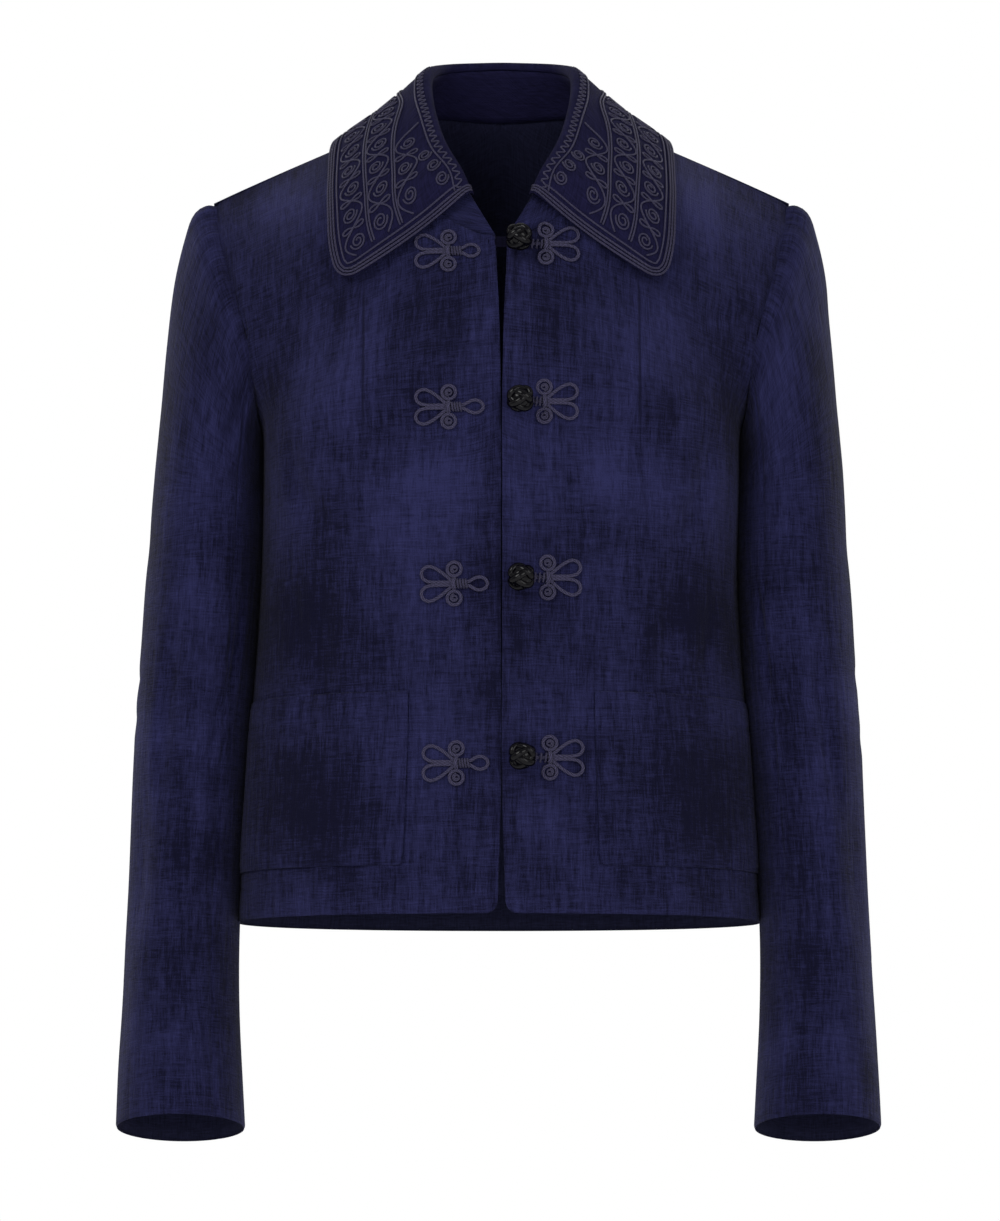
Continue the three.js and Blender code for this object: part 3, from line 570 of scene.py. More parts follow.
def sleeve_grid():
    """The left sleeve: the head comes off the armhole and down on the first ring in cubic curves, and
    below it the rings are ellipses with soft hollows, slanted towards the cuff."""
    count = 2 * ARMHOLE_STEPS
    turn = np.arange(count + 1) / count
    front = line_through(ARMHOLE_FRONT)(np.minimum(2 * turn, 1))
    back = line_through(ARMHOLE_BACK)(np.clip(2 - 2 * turn, 0, 1))
    start = np.where((turn <= 0.5)[:, None], front, back)

    def ring(z):
        x, y, wide, deep = read(SLEEVE_RINGS, "z", z, "x", "y", "wide", "deep")
        angle = np.pi + 2 * np.pi * turn
        across = (turn[:, None] - SLEEVE_FOLDS["turn"]) / SLEEVE_FOLDS["across"]
        along = (z - SLEEVE_FOLDS["z"]) / SLEEVE_FOLDS["along"]
        fold = (SLEEVE_FOLDS["depth"] * np.exp(-across**2 - along**2)).sum(1)
        height = np.full_like(turn, z)
        points = [x + (wide + fold) * np.cos(angle), y + (deep + fold) * np.sin(angle), height]
        return np.stack(points, axis=-1)

    end = ring(SLEEVE_TOP_Z)
    out = read(HEAD_REACH, "at", turn, "out_x", "out_y", "out_z")
    drop = read(HEAD_REACH, "at", turn, "drop")[:, None] * np.array([0, 0, 1])
    head = bezier(start, start + out, end + drop, end, np.arange(HEAD_ROWS + 1) / HEAD_ROWS)
    below = np.stack([ring(z) for z in SLEEVE_HEIGHTS])
    low = 1 - smoothstep(SLEEVE_HEIGHTS, CUFF_Z, SLANT_TOP_Z)[:, None]
    below[..., 2] += low * CUFF_SLANT * (below[..., 1] - CUFF_MIDDLE_Y)
    return np.concatenate([head.swapaxes(0, 1), below])


def collar_lines():
    """The neck seam and the roll line above it, from the front to the centre back."""
    front = line_through(NECKLINE_FRONT)(np.arange(FRONT_NECK_STEPS + 1) / FRONT_NECK_STEPS)
    back = line_through(NECKLINE_BACK)(np.arange(BACK_NECK_STEPS - 1, -1, -1) / BACK_NECK_STEPS)
    neck = np.concatenate([front, back])
    run = run_along(neck)
    shares = run / run[-1]
    roll = line_through(ROLL_LINE)
    return neck, shares, roll(shares), roll


def fall_grid(wall):
    """The collar's fall on the left: each column rises from the roll, turns over it on an arc of the
    stated turn and runs out to the free edge on a cubic curve."""
    neck, shares, top, roll = collar_lines()
    along = roll(np.minimum(shares + ROLL_SLOPE_STEP, 1)) - roll(np.maximum(shares - ROLL_SLOPE_STEP, 0))
    along[-1] = (-1, 0, 0)
    along = unit(along)
    up = top - neck
    up = unit(up - along * (up * along).sum(1, keepdims=True))
    out = unit(np.cross(along, up))
    turn = np.radians(read(FALL_EDGE, "at", shares, "turn"))[:, None]
    reach = read(FALL_EDGE, "at", shares, "reach")[:, None]
    centre = top + out * ROLL_RADIUS + up * ROLL_GAP
    radius = ROLL_RADIUS + wall

    def on_arc(share):
        rise = ROLL_FOOT + radius * np.sin(share * turn)
        return centre - out * radius * np.cos(share * turn) + up * rise

    foot = centre - out * radius
    start = on_arc(1)
    leave = (out * np.sin(turn) + up * np.cos(turn)) * reach
    end = read(FALL_EDGE, "at", shares, "x", "y", "z")
    arrive = end + read(FALL_EDGE, "at", shares, "end_x", "end_y", "end_z")
    arc = np.stack([foot] + [on_arc(share) for share in np.linspace(0, 1, 9)])
    flat = bezier(start, start + leave, arrive, end, np.linspace(0, 1, 15)[1:]).swapaxes(0, 1)
    return np.concatenate([arc, flat])


UNDERARM_ROW = len(BODY_HEIGHTS) - 1
FRONT_NECK_ROW = UNDERARM_ROW + ARMHOLE_STEPS - FRONT_NECK_STEPS
BACK_NECK_ROW = UNDERARM_ROW + ARMHOLE_STEPS - BACK_NECK_STEPS
FRONT = Surface(
    half_panel("front", "front_square", True, NECK_FRONT_Z, FRONT_NECK_STEPS, NECKLINE_FRONT,
               ARMHOLE_FRONT, FRONT_REACH),
    corners=[(FRONT_NECK_ROW, 0), (UNDERARM_ROW, PANEL_COLUMNS)],
)
BACK = Surface(
    half_panel("back", "back_square", False, NECK_BACK_Z, BACK_NECK_STEPS, NECKLINE_BACK,
               ARMHOLE_BACK, BACK_REACH),
    corners=[(BACK_NECK_ROW, 0), (UNDERARM_ROW, PANEL_COLUMNS)],
    before="mirror",
    mirror_row=BACK_NECK_ROW,
)
SLEEVE = Surface(sleeve_grid(), before="wrap", after="wrap")


# Fine form of a surface

def folded(points, normals, across, folds, share=FOLD_SHARE):
    """Points moved along their normals by soft folds. A fold runs on a bowed line. At distance d from
    it the cloth moves by share times depth (1 - 1.2 q) exp(-q), with q = (d / width) squared, times a
    power of the sine of how far along the line it is, so it fades out at both ends."""
    place = np.stack([across, points[..., 2]], axis=-1)
    t = np.linspace(0, 1, FOLD_SAMPLES)[:, None]
    moved = np.zeros(across.shape)
    for a0, z0, a1, z1, bow, width, depth in zip(*folds.values()):
        start, end = np.array([a0, z0]), np.array([a1, z1])
        aside = unit(np.array([z0 - z1, a1 - a0]))
        line = start + (end - start) * t + aside * bow * 4 * t * (1 - t)
        distance = np.linalg.norm(place[..., None, :] - line, axis=-1)
        nearest = distance.argmin(-1)
        q = (distance.min(-1) / width) ** 2
        moved += share * depth * (1 - FOLD_RIDGE * q) * np.exp(-q) * np.sin(np.pi * t[nearest, 0]) ** 0.8
    return points + normals * moved[..., None]


def hung(points, side):
    """A body panel's points with its lower part a little longer, and its side pressed in below the
    chest where the arm lies on it."""
    x, y, z = np.moveaxis(points, -1, 0)
    low = 1 - smoothstep(z, *PRESS_HEIGHTS)
    press = SIDE_PRESS[side] * low * smoothstep(np.abs(x), *PRESS_ACROSS)
    drop = HEM_DROP * (1 - smoothstep(z, *HEM_DROP_HEIGHTS))
    return np.stack([x - np.sign(x) * press, y, z - drop], axis=-1)


def drawn_in(points, side, down_run):
    """A sleeve's points moved towards the body by SLEEVE_DRAW, in each ring in even steps from its outer
    to its inner side, from nothing at the armhole seam."""
    z = points[..., 2]
    low, high = SLEEVE_DRAW_ENDS
    ring = read(SLEEVE_RINGS, "z", np.clip(z, low, SLEEVE_TOP_Z), "x", "wide")
    middle, wide = np.moveaxis(ring, -1, 0)
    share = np.clip((middle + wide - np.abs(points[..., 0])) / (2 * wide), 0, 1)
    draw = read(SLEEVE_DRAW[side], "z", np.clip(z, low, high), "outer", "inner")
    outer, inner = np.moveaxis(draw, -1, 0)
    outer_move = outer * (1 - share) * smoothstep(down_run, 0, OUTER_DRAW_RUN)
    move = outer_move + inner * share * smoothstep(down_run, 0, INNER_DRAW_RUN)
    return points - np.stack([side * move, 0 * move, 0 * move], axis=-1)


def tucked(points, edges):
    """Points drawn past the seams they end on, so that two pieces cross there. Each edge is its axis,
    whether it is the axis's last line, the distance from it and where it is a seam (0 to 1)."""
    moved = points.copy()
    for axis, last, distance, seam in edges:
        along = unit(np.gradient(points, axis=axis)) * (1 if last else -1)
        share = SEAM_TUCK * np.exp(-((distance / SEAM_WIDE) ** 2)) * seam
        moved = moved + along * share[..., None]
    return moved


def dipped(points, normals, distance, depth, wide):
    """Points sunk by a small groove: depth exp(-(distance / wide) squared)."""
    return points - normals * (depth * np.exp(-((distance / wide) ** 2)))[..., None]


def rounded(points, first, second, radius):
    """Rounds the corner where both distances are 0. Inside the square of the radius, a point at the
    vector q from the arc's centre moves to q times its larger part over its length."""
    q = np.stack([radius - first, radius - second], axis=-1).clip(0)
    inside = (first < radius) & (second < radius)
    length = np.maximum(np.linalg.norm(q, axis=-1), 1e-9)
    shrink = np.where(inside, 1 - q.max(-1) / length, 0)[..., None] * q
    along = unit(np.gradient(points, axis=1)) * np.sign(first[0, -1] - first[0, 0])
    up = unit(np.gradient(points, axis=0)) * np.sign(second[-1, 0] - second[0, 0])
    return points + along * shrink[..., :1] + up * shrink[..., 1:]


class Patch:
    """A fine grid of points with its pattern coordinates, in millimetres. turned says that its rows and
    columns go round the other way, so its faces are reversed."""

    def __init__(self, points, pattern, turned):
        self.points = points
        self.pattern = pattern
        self.turned = turned

    def as_part(self):
        """Its points, faces and pattern in rows."""
        faces = grid_faces(*self.points.shape[:2], self.turned)
        return self.points.reshape(-1, 3), faces, self.pattern.reshape(-1, 2)


def add_object(name, mesh, replaces=()):
    """Links a finished mesh as a piece that rides on the jacket."""
    piece = bpy.data.objects.new(name, mesh)
    bpy.context.scene.collection.objects.link(piece)
    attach(piece, BODY)
    if replaces:
        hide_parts(*replaces)
    return piece


def joined(parts):
    """Parts of points, faces and pattern in one, each part's faces counted on from the last part's."""
    starts = np.cumsum([0] + [len(points) for points, _, _ in parts])
    faces = np.concatenate([part[1] + start for part, start in zip(parts, starts)])
    return np.concatenate([part[0] for part in parts]), faces, np.concatenate([part[2] for part in parts])


def mesh_of(name, points, corners, uvs, materials):
    """A smooth mesh in metres from points in millimetres, each face's corners, and a pattern place for
    each corner as its UV map."""
    mesh = bpy.data.meshes.new(name)
    mesh.from_pydata((points * MM).tolist(), [], corners)
    layer = mesh.uv_layers.new(name="UVMap")
    layer.data.foreach_set("uv", (uvs * MM).astype(np.float32).ravel())
    mesh.polygons.foreach_set("use_smooth", np.ones(len(corners), bool))
    for material in materials:
        mesh.materials.append(material)
    mesh.update()
    return mesh


def grid_faces(rows, count, turned):
    """The four-sided faces of a grid of rows by count points."""
    i, j = np.meshgrid(np.arange(rows - 1), np.arange(count - 1), indexing="ij")
    a = (i * count + j).ravel()
    faces = np.stack([a, a + 1, a + count + 1, a + count], axis=-1)
    return faces[:, ::-1] if turned else faces


def cloth_piece(name, patches, wall, materials, replaces):
    """A cloth wall: the patches are its outer face, joined where their points meet, and a modifier gives
    it its thickness inwards."""
    points, faces, pattern = joined([patch.as_part() for patch in patches])
    places, ids = np.unique(np.round(points, 3) + 0.0, axis=0, return_inverse=True)
    corners = ids.reshape(-1)[faces].tolist()
    mesh = mesh_of(name, places, corners, pattern[faces.ravel()], materials)
    piece = add_object(name, mesh, replaces)
    solidify = piece.modifiers.new("wall", "SOLIDIFY")
    solidify.thickness = wall
    solidify.offset = -1
    solidify.use_even_offset = True
    solidify.thickness_clamp = 1
    solidify.material_offset = len(materials) - 1
    return piece


class Placer:
    """Finds a surface's point and normal where two coordinates of its grid have given values, by
    Newton's steps on the grid's bilinear patches from the nearest point of every fourth line."""

    def __init__(self, points, normals, first, second, third=None):
        third = first if third is None else third
        rest = [field[..., None] for field in (first, second, third)]
        self.fields = np.concatenate([points, normals, *rest], axis=-1)

    def sample(self, i, j):
        """The fields at places between the grid's lines, mixed from the four points round each."""
        rows, count = self.fields.shape[:2]
        i, j = np.clip(i, 0, rows - 1.001), np.clip(j, 0, count - 1.001)
        a, b = i.astype(int), j.astype(int)
        s, t = (i - a)[..., None], (j - b)[..., None]
        low = self.fields[a, b] * (1 - t) + self.fields[a, b + 1] * t
        high = self.fields[a + 1, b] * (1 - t) + self.fields[a + 1, b + 1] * t
        return low * (1 - s) + high * s

    def found(self, first, second):
        """The fields where the two coordinates have these values."""
        goal = np.stack([first, second], axis=-1)
        coarse = self.fields[::4, ::4, 6:8]
        gap = np.linalg.norm(goal[:, None] - coarse.reshape(-1, 2), axis=-1).argmin(1)
        i, j = (4.0 * part for part in np.divmod(gap, coarse.shape[1]))
        for _ in range(14):
            here = self.sample(i, j)[:, 6:8]
            di = (self.sample(i + 0.5, j) - self.sample(i - 0.5, j))[:, 6:8]
            dj = (self.sample(i, j + 0.5) - self.sample(i, j - 0.5))[:, 6:8]
            miss = goal - here
            area = di[:, 0] * dj[:, 1] - di[:, 1] * dj[:, 0]
            area = np.where(np.abs(area) < 1e-6, 1e-6, area)
            step_i = (miss[:, 0] * dj[:, 1] - miss[:, 1] * dj[:, 0]) / area
            step_j = (miss[:, 1] * di[:, 0] - miss[:, 0] * di[:, 1]) / area
            i = np.clip(i + step_i.clip(-3, 3), 0, self.fields.shape[0] - 1.001)
            j = np.clip(j + step_j.clip(-3, 3), 0, self.fields.shape[1] - 1.001)
        return self.sample(i, j)

    def at(self, first, second):
        """The points and normals there."""
        found = self.found(first, second)
        return found[:, :3], unit(found[:, 3:6])

    def third(self, first, second):
        """The third field there."""
        return self.found(first, second)[:, 8]


# Cords and braids

def oval(wide, high, sides=10):
    """A flat oval section: wide and high across, resting at height 0."""
    a = 2 * np.pi * np.arange(sides) / sides
    return np.stack([wide / 2 * np.cos(a), high / 2 * (1 + np.sin(a))], axis=-1)


def soutache(wide, high, sides=14, groove=0.45):
    """A flat two-cord braid's section: an oval whose upper side sinks at the middle by groove of the
    height, as exp(-(5 x / wide) squared)."""
    section = oval(wide, high, sides)
    x, z = section.T
    sink = groove * high * np.exp(-((5 * x / wide) ** 2)) * (z > high / 2)
    return np.stack([x, z - sink], axis=-1)


def sweep(points, normals, section, closed=False):
    """A section carried along a path: its first axis lies across the path in the surface, its second
    along the surface's normal. Gives points, faces and a pattern of run and turn."""
    if closed:
        ahead, behind = np.roll(points, -1, axis=0), np.roll(points, 1, axis=0)
        along = unit(ahead - behind)
    else:
        along = unit(np.gradient(points, axis=0))
    side = unit(np.cross(along, normals))
    rise = unit(np.cross(side, along))
    count, sides = len(points), len(section)
    rings = points[:, None] + side[:, None] * section[:, :1] + rise[:, None] * section[:, 1:]
    i, k = np.meshgrid(np.arange(count if closed else count - 1), np.arange(sides), indexing="ij")
    i, k = i.ravel(), k.ravel()
    n, m = (i + 1) % count, (k + 1) % sides
    faces = np.stack([i * sides + k, n * sides + k, n * sides + m, i * sides + m], axis=-1)
    run = run_along(points)
    pattern = np.stack(np.meshgrid(run, np.arange(sides) * 10.0 / sides, indexing="ij"), axis=-1)
    points = rings.reshape(-1, 3)
    pattern = pattern.reshape(-1, 2)
    if not closed:
        for ring in (rings[0], rings[-1]):
            middle = len(points)
            base = 0 if middle == count * sides else (count - 1) * sides
            points = np.concatenate([points, ring.mean(0)[None]])
            pattern = np.concatenate([pattern, pattern[base][None]])
            a, b = base + np.arange(sides), base + (np.arange(sides) + 1) % sides
            centre = np.full(sides, middle)
            fan = [a, b, centre, centre] if base == 0 else [b, a, centre, centre]
            faces = np.concatenate([faces, np.stack(fan, axis=-1)])
    return points, faces, pattern


def cord_piece(name, strands, materials, replaces):
    """One piece from swept strands. A fan's four-cornered face names its middle twice, so faces are
    written corner by corner without repeats."""
    points, faces, pattern = joined(strands)
    fans = faces[:, 2] == faces[:, 3]
    squares, triangles = faces[~fans], faces[fans][:, :3]
    loops = np.concatenate([squares.ravel(), triangles.ravel()])
    corners = squares.tolist() + triangles.tolist()
    return add_object(name, mesh_of(name, points, corners, pattern[loops], materials), replaces)


# Pieces

def both_tables(tables):
    """The left and the right table in one, with the right one's distances across as negative."""
    right = dict(tables[RIGHT], across=-tables[RIGHT]["across"], to_across=-tables[RIGHT]["to_across"])
    right["bow"] = -right["bow"]
    return {key: np.concatenate([tables[LEFT][key], right[key]]) for key in right}


def outward(points, turned):
    """A grid's normals out of the cloth."""
    return normals_of(points) * (-1 if turned else 1)


def sided(points, side):
    """The left side's points, or for the right side their mirror images."""
    return points if side == LEFT else mirrored(points)


def threads(side, across, height):
    """A patch's pattern coordinates: across the cloth and up it. They aren't mirrored, and the right
    side's lie apart, so the two sides don't look alike."""
    start = (side == RIGHT) * PATTERN_APART
    return np.stack([side * across + start, np.broadcast_to(height[:, None], across.shape)], axis=-1)


def panel_rows(surface):
    """The heights of a body panel's lines, three of them for the hem's stitching."""
    stitch = (HEM_STITCH - STITCH_BESIDE, HEM_STITCH, HEM_STITCH + STITCH_BESIDE)
    return lines(0, surface.up_run[-1], PANEL_STEP, also=stitch)


def flat_below(z):
    """What is added to the distance from an armhole, so that it has no groove near the underarm."""
    return ARMHOLE_FLAT * (1 - smoothstep(z, *ARMHOLE_FLAT_HEIGHTS))


def front_patch(side):
    """One front from hem to shoulder seam: the frame's front, splined, with its folds, its sunk seams
    and free edges, the hem's stitch line and the round corner at the foot of the front edge."""
    up = panel_rows(FRONT)
    along = lines(0, FRONT.along_run[-1], PANEL_STEP)
    points = sided(FRONT.at(up, along), side)
    turned = side == RIGHT
    normals = outward(points, turned)
    from_centre, from_hem = run_along(points, 1), run_along(points, 0)
    from_side, from_top = from_centre[:, -1:] - from_centre, from_hem[-1:] - from_hem
    start = np.abs(points[:, :1, 0])
    across = from_centre + start
    pattern = threads(side, across, up)
    points = hung(folded(points, normals, across, FRONT_FOLDS[side]), side)
    points = tucked(points, [(1, True, from_side, 1), (0, True, from_top, 1)])
    points = dipped(points, normals, np.minimum(from_side, from_top), SEAM_DIP, SEAM_WIDE)
    from_armhole = from_side + flat_below(points[..., 2])
    points = dipped(points, normals, from_armhole, ARMHOLE_DIP, ARMHOLE_WIDE)
    points = dipped(points, normals, np.minimum(from_centre, from_hem), EDGE_DIP, EDGE_WIDE)
    points = dipped(points, normals, from_hem - HEM_STITCH, HEM_DIP, HEM_WIDE)
    points = rounded(points, from_centre, from_hem, HEM_ROUND)
    return Patch(points, pattern, turned)


def back_patch(side):
    """One half of the back, splined and finished as a front is. The two halves meet in the middle
    without a seam."""
    up = panel_rows(BACK)
    along = lines(0, BACK.along_run[-1], PANEL_STEP, near=(False, True))
    points = sided(BACK.at(up, along), side)
    turned = side == LEFT
    normals = outward(points, turned)
    middle = np.abs(points[:, 0, 0]) < 0.01
    points[middle, 0, 0] = 0
    normals[middle, 0, 0] = 0
    run, from_hem = run_along(points, 1), run_along(points, 0)
    across = run + np.abs(points[:, :1, 0])
    height = np.broadcast_to(up[:, None], run.shape)
    neck = smoothstep(height, BACK.mirror_top - 1, BACK.mirror_top + 1)
    from_side, from_top = run[:, -1:] - run, from_hem[-1:] - from_hem
    pattern = threads(side, across, up)
    points = hung(folded(points, normals, side * across, both_tables(BACK_FOLDS)), side)
    edges = [(1, False, run, neck), (1, True, from_side, 1), (0, True, from_top, 1)]
    points = tucked(points, edges)
    points = dipped(points, normals, np.minimum(from_side, from_top), SEAM_DIP, SEAM_WIDE)
    points = dipped(points, normals, from_hem, EDGE_DIP, EDGE_WIDE)
    points = dipped(points, normals, from_hem - HEM_STITCH, HEM_DIP, HEM_WIDE)
    points[middle, 0, 0] = 0
    return Patch(points, pattern, turned)


def sleeve_patch(side, upper):
    """The upper or the under sleeve, from the armhole seam down to the cuff, between its two seams: the
    frame's sleeve, splined, with its creases, drawn to the body."""
    run = SLEEVE.along_run
    down = lines(0, SLEEVE.up_run[-1], PANEL_STEP)
    front_seam, back_seam, whole = run[FRONT_SLEEVE_SEAM], run[BACK_SLEEVE_SEAM], run[-1]
    if upper:
        along = lines(front_seam, back_seam, PANEL_STEP)
        points = SLEEVE.at(down, along)
    else:
        behind = lines(back_seam, whole, PANEL_STEP, near=(True, False))
        before = lines(0, front_seam, PANEL_STEP, near=(False, True))[1:]
        points = np.concatenate([SLEEVE.at(down, behind), SLEEVE.at(down, before)], axis=1)
        along = np.concatenate([behind - whole, before])
    points = sided(points, side)
    turned = side == LEFT
    normals = outward(points, turned)
    round_run, down_run = run_along(points, 1), run_along(points, 0)
    front_line = np.interp(ARMHOLE_STEPS / 2, np.arange(len(run)), run)
    across = np.broadcast_to(along - front_line, points.shape[:2])
    pattern = threads(side, across, -down)
    from_seam = np.minimum(round_run, round_run[:, -1:] - round_run)
    deeper = CREASE_FRONT - CREASE_LESS * smoothstep(across, *CREASE_ACROSS)
    creased = folded(points, normals, across, SLEEVE_CREASES[side], deeper)
    points = drawn_in(creased, side, down_run)
    to_back = round_run[:, -1:] - round_run
    points = tucked(points, [(1, False, round_run, 1), (1, True, to_back, 1), (0, False, down_run, 1)])
    from_armhole = down_run + flat_below(points[..., 2])
    points = dipped(points, normals, np.minimum(from_seam, from_armhole), SEAM_DIP, SEAM_WIDE)
    points = dipped(points, normals, from_armhole, ARMHOLE_DIP, ARMHOLE_WIDE)
    points = dipped(points, normals, down_run[-1:] - down_run, EDGE_DIP, EDGE_WIDE)
    return Patch(points, pattern, turned)


def pocket_patch(side):
    """A patch pocket: the front's own form under it, lifted, a little full in its middle and thin
    towards the side seam, with a stitched edge and a stitched hem along its mouth."""
    low, high = (FRONT.up_run[row] for row in POCKET_ROWS)
    inner = FRONT.along_run[POCKET_COLUMN]
    hem = high - low - POCKET_HEM
    stitch = (low + hem - POCKET_STITCH_BESIDE, low + hem, low + hem + POCKET_STITCH_BESIDE)
    up = lines(low, high, PANEL_STEP, also=stitch)
    along = lines(inner, FRONT.along_run[-1] - POCKET_FROM_SEAM, PANEL_STEP)
    points = sided(FRONT.at(up, along), side)
    turned = side == RIGHT
    normals = outward(points, turned)
    run, rise = run_along(points, 1), run_along(points, 0)
    across = run + inner + POCKET_SHIFT
    pattern = threads(side, across, up)
    to_side = run[:, -1:] - run
    edge = np.minimum(np.minimum(run, to_side), np.minimum(rise, rise[-1:] - rise))
    full = POCKET_PUFF * np.minimum(edge / POCKET_PUFF_RUN, 1) ** 0.6
    moved = hung(folded(points, normals, across, FRONT_FOLDS[side]), side)
    thin = POCKET_THIN + (1 - POCKET_THIN) * smoothstep(to_side, *POCKET_THIN_RUN)
    moved = moved + normals * ((POCKET_WALL + POCKET_LIFT + full) * thin)[..., None]
    moved = dipped(moved, normals, edge - POCKET_STITCH, POCKET_STITCH_DIP, POCKET_STITCH_WIDE)
    moved = dipped(moved, normals, rise - hem, 0.5, HEM_WIDE)
    moved = dipped(moved, normals, edge, 0.8, 0.8)
    return Patch(rounded(moved, run, rise, POCKET_ROUND), pattern, turned)


def round_the_neck(half, other):
    """A grid from its left front to the centre back, and on to its right front with the other half."""
    return np.concatenate([half, other[:, -2::-1]], axis=1)


def stand_patch():
    """The collar's stand, from the neck seam up to the roll."""
    neck, _, top, _ = collar_lines()
    surface = Surface(np.stack([neck, top]), after="mirror")
    up = np.linspace(0, surface.up_run[-1], 9)
    half = surface.at(up, lines(0, surface.along_run[-1], PANEL_STEP, near=(True, False)))
    points = round_the_neck(half, mirrored(half))
    pattern = np.stack([run_along(points, 1), run_along(points, 0)], axis=-1)
    return Patch(points, pattern, False)


FALL = Surface(fall_grid(3), after="mirror")
FALL_ALONG = lines(0, FALL.along_run[-1], FALL_STEP, near=(True, False))
FALL_UP = lines(0, FALL.up_run[-1], FALL_STEP, also=np.arange(1.2, 15, 1.2), near=(False, True))


def fall_half():
    """The left half of the fall: points, normals, the distances from the leading and the free edge, and
    each column's share of the way from the leading edge to the centre back."""
    points = FALL.at(FALL_UP, FALL_ALONG)
    normals = outward(points, True)
    row_way, column_way = unit(points[:, 4] - points[:, 0]), unit(points[-1] - points[-5])
    lead_way, free_way = unit(np.gradient(points[:, 0], axis=0)), unit(np.gradient(points[-1], axis=0))
    lead = run_along(points, 1) * np.linalg.norm(np.cross(row_way, lead_way), axis=-1)[:, None]
    rise = run_along(points, 0)
    free = (rise[-1:] - rise) * np.linalg.norm(np.cross(column_way, free_way), axis=-1)
    lift = RIPPLE * np.sin(lead / RIPPLE_LONG + RIPPLE_START) * np.exp(-((free / RIPPLE_FADE) ** 2))
    points = points + normals * (lift * smoothstep(lead, 0, RIPPLE_RUN))[..., None]
    points = rounded(points, lead, free, TIP_ROUND)
    from_tip = np.clip(free / free[0], 0, 1)[..., None]
    roll = collar_lines()[2]
    roll_way = unit(roll[0] - roll[2])
    drop = FALL_DROP * (1 - from_tip) * TIP_WAY + FALL_DROP_ROLL * from_tip * roll_way
    points = points + drop * (1 - smoothstep(lead, 0, FALL_DROP_RUN))[..., None]
    share = np.broadcast_to(FALL_ALONG / FALL_ALONG[-1], lead.shape)
    return points, normals, lead, free, share


def fall_patch():
    """The collar's fall over the roll to its free edge, in one round the neck."""
    half, normals, lead, free, _ = fall_half()
    half = dipped(half, normals, np.minimum(lead, free), 0.9, 1)
    pattern = np.stack([lead, free], axis=-1)
    return Patch(round_the_neck(half, mirrored(half)), round_the_neck(pattern, pattern), True)


# Cords on the collar

def strand(placer, path, height, section, side):
    """A cord along a path of a surface's two coordinates, resting at a height above it."""
    points, normals = placer.at(*path.T)
    return sweep(sided(points + normals * height, side), sided(normals, side), section)


def resampled(path, step):
    """A path's points at even steps."""
    path = np.asarray(path, float)
    run = run_along(path)
    at = np.linspace(0, run[-1], max(3, round(run[-1] / step) + 1))
    return np.stack([np.interp(at, run, part) for part in path.T], axis=-1)


def edge_row(offset, end_lead, top):
    """The path of one row of braid: along the free edge, round the tip and up the leading edge. Its
    square corner lies on the rounded tip as an arc."""
    return resampled([(end_lead, offset), (offset, offset), (offset, top)], BRAID_STEP)


def spiral(centre, first, last, start, turns, step=0.9):
    """A coil's path from radius first to last, from the angle start on."""
    count = max(8, round(2 * np.pi * abs(turns) * (first + last) / 2 / step))
    t = np.linspace(0, 1, count)
    a = start + 2 * np.pi * turns * t
    r = first + (last - first) * t
    return np.stack([centre[0] + r * np.cos(a), centre[1] + r * np.sin(a)], axis=-1)


def teardrop(reach, half_wide, rise, open_end=0.25, step=1.1):
    """A petal's path: it leaves the point, widens as sin(a) sin(a / 2) and comes back to the point."""
    a = np.linspace(open_end, 2 * np.pi - open_end, max(12, round(2.1 * abs(reach) / step)))
    along = (1 - np.cos(a)) / 2
    return np.stack([reach * along, half_wide * np.sin(a) * np.sin(a / 2) + rise * along], axis=-1)


def trimmed(path, keep):
    """The longest run of a path's points that are kept."""
    ends = np.flatnonzero(np.diff(np.concatenate([[0], keep.astype(int), [0]])))
    if not len(ends):
        return path[:0]
    starts, stops = ends[::2], ends[1::2]
    best = (stops - starts).argmax()
    return path[starts[best]:stops[best]]


